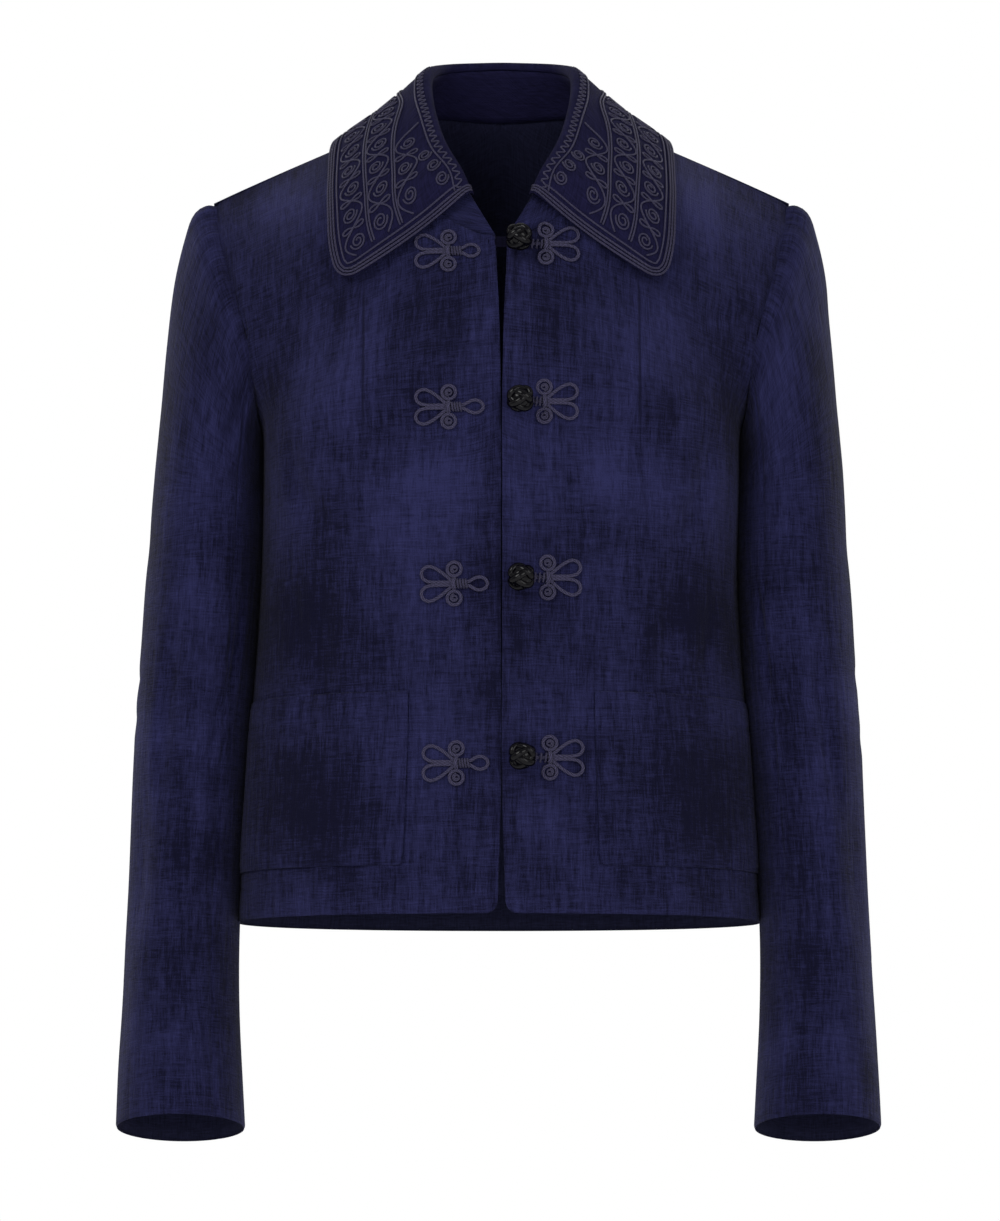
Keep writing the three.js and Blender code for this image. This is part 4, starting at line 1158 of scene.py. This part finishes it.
def collar_strands():
    """The paths of all cords of the collar on the left: three rows of braid along its edges, a fine
    border inside them, coils, a rule and a waving cord beside the roll, plain rules, and rows of a waving
    cord with a coil in each bay and a pair of petals between the bays. The rows are placed by their
    distance from the centre back. The right side mirrors them."""
    points, normals, lead, free, share = fall_half()
    wide = FALL_ALONG[-1]
    by_edge = Placer(points, normals, lead, free)
    by_share = Placer(points, normals, share * wide, free, lead)
    fall_wide = free[int(np.searchsorted(FALL_UP, 9))]
    paths = []
    for offset in (*EDGE_ROWS, BORDER):
        end_lead = float(np.interp(offset, free[::-1, -1], lead[::-1, -1]))
        kind = "fine" if offset == BORDER else "edge"
        top = fall_wide[0] + (3 if kind == "edge" else -6)
        paths.append((by_edge, edge_row(offset, end_lead, top), kind))

    def lay(path, real):
        path = np.stack([wide - path[:, 0] * wide / real, path[:, 1]], axis=-1)
        clear = by_share.third(*path.T) > BORDER + BORDER_KEEP
        room = np.interp(path[:, 0], FALL_ALONG, fall_wide) > path[:, 1] + ROLL_KEEP
        path = trimmed(path, clear & room)
        if len(path) > 9:
            paths.append((by_share, path, "fine"))

    reach = np.arange(BORDER - 1, wide, 0.8)
    roll = np.interp(reach, FALL_ALONG, fall_wide)
    for at in ROLL_COILS:
        centre = (at, np.interp(at, FALL_ALONG, fall_wide) - ROLL_RULE - ROLL_COIL_BELOW)
        paths.append((by_share, spiral(centre, 4.9, 1.2, np.pi / 2, 1.9), "fine"))
    for inside, high in ((ROLL_RULE, 0), (ROLL_WAVE, ROLL_WAVE_HIGH)):
        wave = high * np.cos(2 * np.pi * reach / ROLL_WAVE_LONG)
        paths.append((by_share, np.stack([reach, roll - inside + wave], axis=-1), "fine"))

    straight = np.arange(0, wide, 2)
    for rule in RULE_ROWS:
        lay(np.stack([straight, np.full(len(straight), rule)], axis=-1), wide)
    for row, high in SCROLL_ROWS:
        found, _ = by_share.at(np.linspace(0, wide, 60), np.full(60, float(row)))
        real = run_along(found)[-1]
        count = max(3, round(real / SCROLL_LONG))
        long = real / count
        reach = np.arange(0, real, 1.2)
        lay(np.stack([reach, row + high * np.cos(np.pi * reach / long)], axis=-1), real)
        for k in range(count):
            up = -1 if k % 2 else 1
            middle, gap = k * long, (k + 0.5) * long
            where = np.array([wide - middle * wide / real]), np.array([float(row)])
            clear = by_share.third(*where)[0] > BORDER + high - 1
            room = np.interp(where[0][0], FALL_ALONG, fall_wide) > row + high + ROLL_KEEP
            if not (clear and room):
                continue
            if k:
                coil = spiral((middle, row - up * 1.6), high - 2.4, 1.3, up * np.pi / 2, -up * 1.9)
                lay(coil, real)
            else:
                lay(teardrop(-11, 2.6, 5)[:, ::-1] + (0, row + 4), real)
            for way in (1, -1):
                lay(teardrop(way * 8.2, 2.3, 0)[:, ::-1] + (gap, row), real)
    return paths


# Frogs on the fronts

class FrontPlace:
    """Points and normals of a front by x and height, read no nearer its edge than EDGE_KEEP."""

    def __init__(self, patch, side):
        self.side = side
        points = patch.points
        normals = outward(points, patch.turned)
        self.placer = Placer(points, normals, side * points[..., 0], points[..., 2])

    def at(self, x, z):
        """The points and normals at x and height."""
        reach = np.abs(x)
        points, normals = self.placer.at(np.maximum(reach, EDGE_KEEP), z)
        points[:, 0] = x
        return points, normals


def through(points, step=0.8):
    """A smooth path through points in a plane, at even steps."""
    points = np.asarray(points, float)
    run = run_along(points)
    at = np.linspace(0, run[-1], max(8, round(run[-1] / step)))
    return resampled(spline(points, run, at), step)


def loop_path(reach):
    """A frog's loop: two strands side by side that open into a round eye."""
    scale = (reach - LOOP_EYE) / -LOOP_HALF[-1][0]
    half = [(x * scale, y) for x, y in LOOP_HALF] + [(-reach + 1.2, 2.6), (-reach, 0)]
    return through(half + [(x, -y) for x, y in half[-2::-1]])


def frog_strands(front, x, z, inward_path, binding):
    """One half of a frog: two petals outwards, two rings with a small coil in each, and the cord
    inwards, bound with thread, with a knob over the middle. binding is where the thread's turns start
    and end, and their number."""
    out = np.sign(x)
    braid, fine = soutache(*FROG_BRAID), oval(*FROG_FINE)
    cords = []

    def lay(path, section, height):
        path = np.asarray(path, float)
        points, normals = front.at(x + out * path[:, 0], z + path[:, 1])
        rise = np.broadcast_to(np.asarray(height, float), len(points))
        cords.append(sweep(points + normals * rise[:, None], normals, section))

    for way in (1, -1):
        lay(through(PETAL * (1, way)), braid, 0.3)
        start = -way * np.pi / 2
        ring = spiral((0.2, way * RING_RISE), RING_RADIUS, RING_RADIUS - 0.1, start, way * 1.02, 0.8)
        ring = np.concatenate([[(1.4, way * 2.2)], ring])
        lay(through(ring, 0.7), braid, 0.4)
        coil = spiral((0.2, way * RING_RISE), COIL_FIRST, COIL_LAST, start, way * COIL_TURNS, 0.6)
        lay(coil, fine, 0.3)
    lay(inward_path, braid, 0.35)
    a = np.linspace(0.02, np.pi - 0.02, 13)
    for across in np.linspace(*binding):
        turn = np.stack([across + 0.35 * np.cos(a), 2.35 * np.cos(a)], axis=-1)
        lay(turn, oval(*FROG_THREAD), 0.5 + 1.9 * np.sin(a))
    knob = np.stack([0.5 * np.sin(a), 2.6 * np.cos(a)], axis=-1)
    lay(knob, oval(*FROG_KNOB), 0.5 + 2.2 * np.sin(a))
    return cords


def knot_strand(centre, turn):
    """A ball knot's cord: it runs three times round the ball as its latitude swings four times between
    two limits, and goes over and under as sin(2 x 4 t / 3)."""
    t = np.linspace(0, 2 * np.pi * KNOT_TURNS, 421)[:-1]
    swing = KNOT_LOBES * t / KNOT_TURNS
    latitude = np.radians(KNOT_LATITUDE) * np.sin(swing)
    radius = BALL_RADIUS + 0.5 - KNOT_CORD - KNOT_WEAVE * (1 - np.sin(2 * swing))
    ring = radius * np.cos(latitude)
    points = np.stack([radius * np.sin(latitude), ring * np.cos(t + turn), ring * np.sin(t + turn)], axis=-1)
    section = oval(2 * KNOT_CORD, 1.7 * KNOT_CORD, 12) - np.array([0, 0.85 * KNOT_CORD])
    return sweep(points + centre, unit(points), section, closed=True)


def ball(centre, radius, rings=14, sides=20):
    """A closed ball of triangles and squares."""
    a = np.linspace(0, np.pi, rings + 1)[1:-1]
    b = 2 * np.pi * np.arange(sides) / sides
    points = np.stack([
        np.outer(np.sin(a), np.cos(b)), np.outer(np.sin(a), np.sin(b)), np.outer(np.cos(a), np.ones(sides)),
    ], axis=-1).reshape(-1, 3)
    poles = np.array([(0, 0, 1), (0, 0, -1)], float)
    points = np.concatenate([points, poles]) * radius + centre
    i, k = (part.ravel() for part in np.meshgrid(np.arange(rings - 2), np.arange(sides), indexing="ij"))
    m = (k + 1) % sides
    faces = np.stack([i * sides + k, (i + 1) * sides + k, (i + 1) * sides + m, i * sides + m], axis=-1)
    k = np.arange(sides)
    m = (k + 1) % sides
    top, foot, last = (rings - 1) * sides, (rings - 1) * sides + 1, (rings - 2) * sides
    caps = np.concatenate([
        np.stack([k, m, np.full(sides, top), np.full(sides, top)], axis=-1),
        np.stack([last + m, last + k, np.full(sides, foot), np.full(sides, foot)], axis=-1),
    ])
    return points, np.concatenate([faces, caps]), points[:, :2]


# Materials

def shader(name, rough, sheen=0.0, coat=0.0, specular=0.4):
    """A new material with its node tree, and its main shader."""
    material = bpy.data.materials.new(name)
    material.use_nodes = True
    tree = material.node_tree
    main = tree.nodes["Principled BSDF"]
    main.inputs["Roughness"].default_value = rough
    main.inputs["Sheen Weight"].default_value = sheen
    main.inputs["Sheen Roughness"].default_value = 0.4
    main.inputs["Coat Weight"].default_value = coat
    main.inputs["Specular IOR Level"].default_value = specular
    return material, tree, main


class Tree:
    """Short ways to add nodes to a material."""

    def __init__(self, tree):
        self.tree = tree

    def add(self, kind, inputs=(), **settings):
        """A new node with its settings, and each input linked to a socket or set to a value."""
        node = self.tree.nodes.new(kind)
        for key, value in settings.items():
            setattr(node, key, value)
        for key, value in dict(inputs).items():
            if isinstance(value, bpy.types.NodeSocket):
                self.tree.links.new(value, node.inputs[key])
            else:
                node.inputs[key].default_value = value
        return node

    def link(self, out, to):
        self.tree.links.new(out, to)

    def uv(self):
        return self.add("ShaderNodeUVMap", uv_map="UVMap").outputs["UV"]

    def places(self):
        return self.add("ShaderNodeTexCoord").outputs["Object"]

    def places_around(self):
        """In a world's tree, the direction, which has no object to read it from."""
        return self.add("ShaderNodeTexCoord").outputs["Generated"]

    def stretched(self, vector, scale, move=(0, 0, 0)):
        return self.add(
            "ShaderNodeMapping", {"Vector": vector, "Scale": scale, "Location": move},
        ).outputs["Vector"]

    def noise(self, vector, scale, detail, move=(0, 0, 0)):
        at = self.stretched(vector, scale, move)
        return self.add("ShaderNodeTexNoise", {
            "Vector": at, "Scale": 1.0, "Detail": detail, "Roughness": 0.5,
        }).outputs["Fac"]

    def math(self, operation, first, second=0.0):
        return self.add("ShaderNodeMath", {0: first, 1: second}, operation=operation).outputs[0]

    def vector_math(self, operation, first, second):
        inputs = {0: first, 1: second}
        return self.add("ShaderNodeVectorMath", inputs, operation=operation).outputs[0]

    def spread(self, value, low, high):
        """The value's share of the way from low to high, held between 0 and 1."""
        return self.add("ShaderNodeMapRange", {
            "Value": value, "From Min": low, "From Max": high,
        }, clamp=True).outputs["Result"]

    def total(self, *terms):
        """The sum of value times weight."""
        result = None
        for value, weight in terms:
            part = self.math("MULTIPLY", value, weight)
            result = part if result is None else self.math("ADD", result, part)
        return result

    def mix(self, share, first, second):
        """The first colour at share 0, the second at 1."""
        node = self.add("ShaderNodeMix", data_type="RGBA")
        for key, value in (("Factor", share), ("A", first), ("B", second)):
            socket = next(s for s in node.inputs if s.name == key and s.enabled)
            if isinstance(value, bpy.types.NodeSocket):
                self.link(value, socket)
            else:
                socket.default_value = value
        return next(s for s in node.outputs if s.enabled)

    def bump(self, height, distance, strength):
        return self.add(
            "ShaderNodeBump", {"Height": height, "Distance": distance, "Strength": strength},
        ).outputs["Normal"]


# The bust darts' lines, where the cloth's colour is darkened as painted shade of their grooves: their
# distance from the middle, their top and their foot, in metres
DART = (0.0905, -0.125, -0.243)

# Patches painted darker or lighter, the same on both sides: partly the cloth's own mottled dye, and
# partly painted shade at the waist and at the sides beside the sleeves, and painted light on the
# shoulders. x, z, half width and half height in metres, and a weight that is under 0 where it is darker
DYE_AND_SHADE_PLACES = (
    (0.128, -0.345, 0.075, 0.085, -0.55), (0.030, -0.150, 0.040, 0.070, -0.35),
    (0.125, -0.440, 0.085, 0.060, -0.35), (0.060, -0.255, 0.060, 0.080, 0.30),
    (0.135, -0.060, 0.060, 0.060, 0.40), (0.150, -0.190, 0.030, 0.090, -0.25),
    (0.105, -0.185, 0.050, 0.060, 0.22), (0.020, -0.480, 0.055, 0.060, 0.12),
    (0.222, -0.400, 0.045, 0.090, 0.15), (0.205, -0.560, 0.050, 0.090, -0.22),
    (0.195, -0.300, 0.050, 0.060, -0.20), (0.080, -0.520, 0.060, 0.030, -0.12),
    (0.125, -0.475, 0.085, 0.070, -0.45), (0.235, -0.190, 0.040, 0.110, -0.25),
)


def tint(colour, share=1.0):
    """A colour property as a socket's four values, lightened or darkened by share."""
    return (*(min(1.0, part * share) for part in colour), 1.0)


# The cloth's middle tone, and how far below and above it the dark and the light colour are reached
TONE_MIDDLE, TONE_BELOW, TONE_ABOVE = 0.5 * 1.40 + 0.5 * 0.86, 0.36, 0.50


def slubbed_cloth(name, dark, light):
    """Slubbed cloth: thin threads both ways, darker upright streaks, level strokes and soft patches,
    each a noise stretched along its threads in the pattern's metres. The patches of dye and of painted
    shade and light, and the darts' lines darkened as painted shade of their grooves, are read from the
    jacket's own coordinates."""
    material, tree, main = shader(name, 0.95, sheen=0.02, specular=0.08)
    t = Tree(tree)
    uv = t.uv()
    warp = t.noise(uv, (1050, 95, 1), 2, (3, 7, 0))
    weft = t.noise(uv, (95, 1050, 1), 2, (11, 2, 0))
    grain = t.noise(uv, (1500, 1500, 1), 1, (5, 5, 0))
    slub = t.spread(t.noise(uv, (260, 26, 1), 2.5, (1, 4, 0)), 0.32, 0.68)
    stroke = t.spread(t.noise(uv, (30, 330, 1), 2, (8, 1, 0)), 0.34, 0.68)
    bands = t.spread(t.noise(uv, (28, 3.5, 1), 2, (2, 9, 0)), 0.3, 0.7)
    levels = t.spread(t.noise(uv, (4, 24, 1), 2, (6, 3, 0)), 0.3, 0.7)
    cloud = t.spread(t.noise(uv, (16, 13, 1), 2, (4, 6, 0)), 0.3, 0.7)
    fleck = t.spread(t.noise(uv, (620, 240, 1), 1, (9, 9, 0)), 0.66, 0.78)
    share = t.total(
        (t.spread(warp, 0.32, 0.68), 0.36), (t.spread(weft, 0.32, 0.68), 0.32),
        (t.spread(grain, 0.3, 0.7), 0.24), (slub, 0.32), (stroke, 0.16),
        (bands, 0.36), (levels, 0.16), (cloud, 0.34), (fleck, 0.15),
    )
    apart = t.add("ShaderNodeSeparateXYZ", {0: t.places()}).outputs
    from_middle = t.math("ABSOLUTE", apart["X"])
    one_side = t.add("ShaderNodeCombineXYZ", {"X": from_middle, "Z": apart["Z"]}).outputs[0]
    # Each patch darkens or lightens the cloth: partly its mottled dye, partly painted shade at the waist and
    # sides and painted light on the shoulders
    for x, z, wide, high, weight in DYE_AND_SHADE_PLACES:
        moved = t.vector_math("SUBTRACT", one_side, (x, 0, z))
        scaled = t.vector_math("MULTIPLY", moved, (1 / wide, 0, 1 / high))
        near = t.add(
            "ShaderNodeTexGradient", {"Vector": scaled}, gradient_type="QUADRATIC_SPHERE",
        ).outputs["Fac"]
        broken = t.math("MULTIPLY", near, t.total((bands, 1.1), (cloud, 0.5), (levels, 0.4)))
        share = t.math("ADD", share, t.math("MULTIPLY", broken, weight))
    share = t.spread(share, TONE_MIDDLE - TONE_BELOW, TONE_MIDDLE + TONE_ABOVE)
    # Along the darts' lines the colour is darkened as painted shade of their grooves, and the bump sinks
    # there
    wide, top, foot = DART
    beside = t.math("ABSOLUTE", t.math("SUBTRACT", from_middle, wide))
    above_foot = t.spread(apart["Z"], foot, foot + 0.03)
    inside = t.math("MULTIPLY", above_foot, t.spread(apart["Z"], top, top - 0.01))
    inside = t.math("MULTIPLY", inside, t.spread(apart["Y"], 0, -0.02))
    dart = t.math("MULTIPLY", t.spread(beside, 0.0013, 0.0002), inside)
    share = t.math("MULTIPLY", share, t.math("SUBTRACT", 1.0, t.math("MULTIPLY", dart, 0.75)))
    main.inputs["Base Color"].default_value = tint(dark)
    t.link(t.mix(share, tint(dark), tint(light)), main.inputs["Base Color"])
    weave = t.total((warp, 1.0), (weft, 1.0), (grain, 0.7), (slub, 0.5), (dart, -1.2))
    t.link(t.bump(weave, 0.0007, 0.8), main.inputs["Normal"])
    return material


def varied(t, share, colour, variation):
    """The colour darkened or lightened by up to variation, as share goes from 0 to 1."""
    return t.mix(share, tint(colour, 1 - variation), tint(colour, 1 + variation))


def plain_cloth(name, colour):
    """Plain matt cloth with a fine even weave."""
    material, tree, main = shader(name, 0.95, specular=0.05)
    t = Tree(tree)
    uv = t.uv()
    warp = t.noise(uv, (900, 100, 1), 2, (3, 1, 0))
    weft = t.noise(uv, (100, 900, 1), 2, (1, 8, 0))
    share = t.spread(t.total((warp, 0.5), (weft, 0.5)), 0.34, 0.66)
    t.link(varied(t, share, colour, 0.4), main.inputs["Base Color"])
    t.link(t.bump(t.total((warp, 1.0), (weft, 1.0)), 0.0006, 0.7), main.inputs["Normal"])
    return material


def braided(name, colour, rough, sheen, specular, coat=0.0, pitch=1.6, depth=0.0005, variation=0.3):
    """Braid or cord: fine slanting ribs along its run, in the pattern's run and turn, painted lighter on
    their ridges and darker in their grooves as painted light and shade, with an uneven grain of tone of
    its own. pitch is in millimetres, depth in metres."""
    material, tree, main = shader(name, rough, sheen=sheen, coat=coat, specular=specular)
    t = Tree(tree)
    uv = t.uv()
    ribs = t.add("ShaderNodeTexWave", {
        "Vector": t.stretched(uv, (1000 / pitch / 6.283 * 2, 300, 1)), "Scale": 1.0,
        "Distortion": 1.2, "Detail": 1.0,
    }, wave_type="BANDS", bands_direction="DIAGONAL").outputs["Fac"]
    grain = t.noise(t.places(), (1400, 1400, 1400), 1)
    # The ribs' ridges are painted lighter and their grooves darker, as painted light and shade; the grain is
    # the cord's own uneven tone
    share = t.spread(t.total((ribs, 0.55), (grain, 0.45)), 0.2, 0.8)
    t.link(varied(t, share, colour, variation), main.inputs["Base Color"])
    t.link(t.bump(ribs, depth, 0.7), main.inputs["Normal"])
    return material


# Settings shown in the sidebar

class JacketSettings(bpy.types.PropertyGroup):
    """The jacket's colours and the thickness of its cloths"""

    cloth_dark: FloatVectorProperty(
        name="Cloth, dark", description="Colour of the cloth's darkest threads", subtype="COLOR",
        default=(0.0025, 0.0025, 0.0120), min=0, max=1,
    )
    cloth_light: FloatVectorProperty(
        name="Cloth, light", description="Colour of the cloth's lightest threads", subtype="COLOR",
        default=(0.0165, 0.0172, 0.0620), min=0, max=1,
    )
    inside_colour: FloatVectorProperty(
        name="Inside", description="Colour of the cloth's inner side", subtype="COLOR",
        default=(0.008, 0.0085, 0.022), min=0, max=1,
    )
    collar_colour: FloatVectorProperty(
        name="Collar", description="Colour of the collar's cloth between its cords", subtype="COLOR",
        default=(0.0060, 0.0055, 0.0215), min=0, max=1,
    )
    braid_colour: FloatVectorProperty(
        name="Braid", description="Colour of the matt braid", subtype="COLOR",
        default=(0.0285, 0.0258, 0.0550), min=0, max=1,
    )
    band_colour: FloatVectorProperty(
        name="Band", description="Colour of the short band under the uppermost ball", subtype="COLOR",
        default=(0.0022, 0.0020, 0.0075), min=0, max=1,
    )
    knot_colour: FloatVectorProperty(
        name="Knots", description="Colour of the knots' satin cord", subtype="COLOR",
        default=(0.0012, 0.0011, 0.0020), min=0, max=1,
    )
    cloth_wall: FloatProperty(
        name="Cloth wall", description="Thickness of the jacket's cloth with its facing and seams",
        default=0.002, min=0.0005, max=0.004, unit="LENGTH",
    )
    collar_wall: FloatProperty(
        name="Collar wall", description="Thickness of the collar's two layers and interlining",
        default=0.003, min=0.001, max=0.005, unit="LENGTH",
    )
    pocket_wall: FloatProperty(
        name="Pocket wall", description="Thickness of a patch pocket's cloth",
        default=0.0015, min=0.0005, max=0.003, unit="LENGTH",
    )


def settings():
    """The sidebar's settings."""
    return bpy.context.scene.jacket


def shared(name, make):
    """A material made once and used again."""
    return bpy.data.materials.get(name) or make(name)


def jacket_cloths():
    """The cloth's outer and inner side."""
    s = settings()
    outside = shared("cloth_outside", lambda n: slubbed_cloth(n, s.cloth_dark, s.cloth_light))
    inside = shared("cloth_inside", lambda n: plain_cloth(n, s.inside_colour))
    return [outside, inside]


def braid_material():
    """The matt braid of the collar and the frogs."""
    return shared("cord_braid", lambda n: braided(
        n, settings().braid_colour, 0.75, 0.04, specular=0.15, variation=0.45))


# Operators, one for each group of pieces


class PieceOperator(bpy.types.Operator):
    """Makes a group of pieces."""

    bl_options = {"REGISTER", "UNDO"}


class JACKET_OT_fronts(PieceOperator):
    """Makes the two fronts"""

    bl_idname = "jacket.fronts"
    bl_label = "Fronts"

    def execute(self, context):
        for word, side in SIDES.items():
            piece = cloth_piece(f"front_cloth_{word}", [front_patch(side)], settings().cloth_wall,
                                jacket_cloths(), [f"front_{word}"])
        return {"FINISHED"}


class JACKET_OT_back(PieceOperator):
    """Makes the back"""

    bl_idname = "jacket.back"
    bl_label = "Back"

    def execute(self, context):
        piece = cloth_piece("back_cloth", [back_patch(LEFT), back_patch(RIGHT)],
                            settings().cloth_wall, jacket_cloths(), ["back"])
        return {"FINISHED"}


class JACKET_OT_sleeves(PieceOperator):
    """Makes the upper and under sleeves"""

    bl_idname = "jacket.sleeves"
    bl_label = "Sleeves"

    def execute(self, context):
        for word, side in SIDES.items():
            for part in ("upper", "under"):
                piece = cloth_piece(f"{part}_sleeve_cloth_{word}", [sleeve_patch(side, part == "upper")],
                                    settings().cloth_wall, jacket_cloths(),
                                    [f"{part}_sleeve_{word}"])
        return {"FINISHED"}


class JACKET_OT_pockets(PieceOperator):
    """Makes the two patch pockets"""

    bl_idname = "jacket.pockets"
    bl_label = "Pockets"

    def execute(self, context):
        for word, side in SIDES.items():
            piece = cloth_piece(f"pocket_cloth_{word}", [pocket_patch(side)],
                                settings().pocket_wall, jacket_cloths(),
                                [f"pocket_{word}"])
        return {"FINISHED"}


class JACKET_OT_collar(PieceOperator):
    """Makes the collar's stand and fall"""

    bl_idname = "jacket.collar"
    bl_label = "Collar"

    def execute(self, context):
        s = settings()
        cloth = shared("cloth_collar", lambda n: plain_cloth(n, s.collar_colour))
        stand = cloth_piece("collar_stand_cloth", [stand_patch()], s.collar_wall,
                            [jacket_cloths()[0], cloth], ["collar_stand"])
        fall = cloth_piece("collar_fall_cloth", [fall_patch()], s.collar_wall, [cloth],
                           ["collar_fall"])
        return {"FINISHED"}


class JACKET_OT_collar_braid(PieceOperator):
    """Lays the collar's edge braid and its coils, waves and petals of fine cord"""

    bl_idname = "jacket.collar_braid"
    bl_label = "Collar braid"

    def execute(self, context):
        sections = {"edge": (soutache(1.35, 1.4), 0.05), "fine": (oval(1.2, 1.1, 8), 0.0)}
        paths = collar_strands()
        for word, side in SIDES.items():
            strands = []
            for placer, path, kind in paths:
                section, height = sections[kind]
                strands.append(strand(placer, path, height, section, side))
            cord_piece(f"collar_braid_{word}", strands, [braid_material()],
                       ["collar_edge_braid"] if side == LEFT else [])
        return {"FINISHED"}


class JACKET_OT_frogs(PieceOperator):
    """Lays the four frogs' halves on the fronts"""

    bl_idname = "jacket.frogs"
    bl_label = "Frogs"

    def execute(self, context):
        places = {side: FrontPlace(front_patch(side), side) for side in (LEFT, RIGHT)}
        for number, (loop_x, loop_z, ball_x, ball_z, inward) in enumerate(zip(*FROGS.values()), 1):
            loop = loop_path(inward - LOOP_MARGIN)
            cords = frog_strands(places[RIGHT], loop_x, loop_z, loop, LOOP_BINDING)
            cord_piece(f"frog_loop_cord_{number}", cords, [braid_material()],
                       [f"frog_loop_{number}"])
            reach = ball_x - KNOT_X[number - 1]
            stem = np.stack([np.linspace(0, -reach + 5, 9), np.zeros(9)], axis=-1)
            cords = frog_strands(places[LEFT], ball_x, ball_z, stem, (-2.4, -reach + 9, 3))
            cord_piece(f"frog_knot_cord_{number}", cords, [braid_material()],
                       [f"frog_knot_half_{number}"])
        return {"FINISHED"}


class JACKET_OT_knots(PieceOperator):
    """Ties the four ball knots of satin cord and lays the band under the uppermost"""

    bl_idname = "jacket.knots"
    bl_label = "Ball knots"

    def execute(self, context):
        place = FrontPlace(front_patch(LEFT), LEFT)
        satin = shared("cord_satin", lambda n: braided(
            n, settings().knot_colour, 0.22, 0.0, coat=0.22, specular=0.03, pitch=1.1, depth=0.00005))
        x = np.linspace(*BAND_X, BAND_STEPS)
        points, normals = place.at(x, np.full(BAND_STEPS, float(BAND_Z)))
        band = sweep(points + normals * BAND_RISE, normals, oval(BAND_HIGH, BAND_THICK, 16))
        cloth = shared("cloth_band", lambda n: plain_cloth(n, settings().band_colour))
        cord_piece("frog_band", [band], [cloth], ())
        for number, (x, z) in enumerate(zip(KNOT_X, FROGS["ball_z"]), 1):
            seat, normal = place.at(np.array([x]), np.array([z]))
            centre = seat[0] + normal[0] * (BALL_RADIUS + BALL_GAP)
            strands = [knot_strand(centre, KNOT_TURNED[number - 1]), ball(centre, BALL_RADIUS - 2.6)]
            cord_piece(f"knot_{number}", strands, [satin], [f"knot_button_{number}"])
        return {"FINISHED"}


# The stage, in metres: lamps by name, place, aim, width and power
CAMERA_AT, CAMERA_TOWARDS, CAMERA_LENS = (-0.001, -4.2, -0.757), (-0.001, 0, -0.331), 186.24
FLOOR_Z, FLOOR_HALF = -1.4, 14
WORLD_FRONT = 0.38
LIGHTS = (
    ("key", (-2.2, -3.2, 2.0), (0, 0, -0.3), 2.4, 115),
    ("fill", (2.6, -3.0, 0.6), (0, 0, -0.35), 2.6, 62),
    ("low", (0, -3.6, -0.9), (0, 0, -0.4), 2.2, 22),
    ("rim_left", (2.0, 1.9, 1.2), (0.1, 0, -0.3), 1.4, 40),
    ("rim_right", (-2.0, 1.9, 1.2), (-0.1, 0, -0.3), 1.4, 40),
)


def aimed(piece, towards):
    """Turns a lamp or a camera towards a place."""
    way = Vector(towards) - piece.location
    piece.rotation_euler = way.to_track_quat("-Z", "Y").to_euler()


class JACKET_OT_stage(PieceOperator):
    """Sets up the pale floor, the soft light and the camera"""

    bl_idname = "jacket.stage"
    bl_label = "Stage"

    def execute(self, context):
        scene = context.scene
        scene.view_settings.view_transform = "Standard"
        world = bpy.data.worlds.new("studio")
        scene.world = world
        world.use_nodes = True
        background = world.node_tree.nodes["Background"]
        nodes = Tree(world.node_tree)
        way = nodes.add("ShaderNodeSeparateXYZ", {0: nodes.places_around()}).outputs["Y"]
        level = nodes.add("ShaderNodeMapRange", {
            "Value": way, "From Min": -0.5, "From Max": 0.7, "To Min": WORLD_FRONT, "To Max": 1.0,
        }, clamp=True).outputs["Result"]
        background.inputs["Color"].default_value = (1.0, 1.0, 1.0, 1)
        nodes.link(level, background.inputs["Strength"])
        mesh = bpy.data.meshes.new("floor")
        square = ((-1, -1), (1, -1), (1, 1), (-1, 1))
        corners = [(x * FLOOR_HALF, y * FLOOR_HALF, FLOOR_Z) for x, y in square]
        mesh.from_pydata(corners, [], [(0, 1, 2, 3)])
        floor = bpy.data.objects.new("floor", mesh)
        scene.collection.objects.link(floor)
        pale, _, main = shader("floor_pale", 0.9)
        main.inputs["Base Color"].default_value = (0.8, 0.8, 0.81, 1)
        mesh.materials.append(pale)
        for name, place, towards, size, power in LIGHTS:
            data = bpy.data.lights.new(name, "AREA")
            data.shape = "DISK"
            data.size = size
            data.energy = power
            lamp = bpy.data.objects.new(name, data)
            lamp.location = place
            scene.collection.objects.link(lamp)
            aimed(lamp, towards)
        data = bpy.data.cameras.new("camera")
        data.lens = CAMERA_LENS
        data.sensor_width = 36
        camera = bpy.data.objects.new("camera", data)
        camera.location = CAMERA_AT
        scene.collection.objects.link(camera)
        aimed(camera, CAMERA_TOWARDS)
        scene.camera = camera
        return {"FINISHED"}


PIECE_OPERATORS = (
    JACKET_OT_fronts,
    JACKET_OT_back,
    JACKET_OT_sleeves,
    JACKET_OT_pockets,
    JACKET_OT_collar,
    JACKET_OT_collar_braid,
    JACKET_OT_frogs,
    JACKET_OT_knots,
    JACKET_OT_stage,
)


class JACKET_PT_panel(bpy.types.Panel):
    """The jacket's settings and its groups of pieces"""

    bl_label = "Frog-closure jacket"
    bl_idname = "JACKET_PT_panel"
    bl_space_type = "VIEW_3D"
    bl_region_type = "UI"
    bl_category = "Jacket"

    def draw(self, context):
        for name in JacketSettings.__annotations__:
            self.layout.prop(context.scene.jacket, name)
        for operator in PIECE_OPERATORS:
            self.layout.operator(operator.bl_idname)


CLASSES = (JacketSettings, *PIECE_OPERATORS, JACKET_PT_panel)


def register():
    for item in CLASSES:
        bpy.utils.register_class(item)
    bpy.types.Scene.jacket = PointerProperty(type=JacketSettings)


def unregister():
    del bpy.types.Scene.jacket
    for item in reversed(CLASSES):
        bpy.utils.unregister_class(item)


def main():
    register()
    for operator in PIECE_OPERATORS:
        group, name = operator.bl_idname.split(".")
        getattr(getattr(bpy.ops, group), name)()
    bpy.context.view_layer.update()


if __name__ == "__main__":
    main()
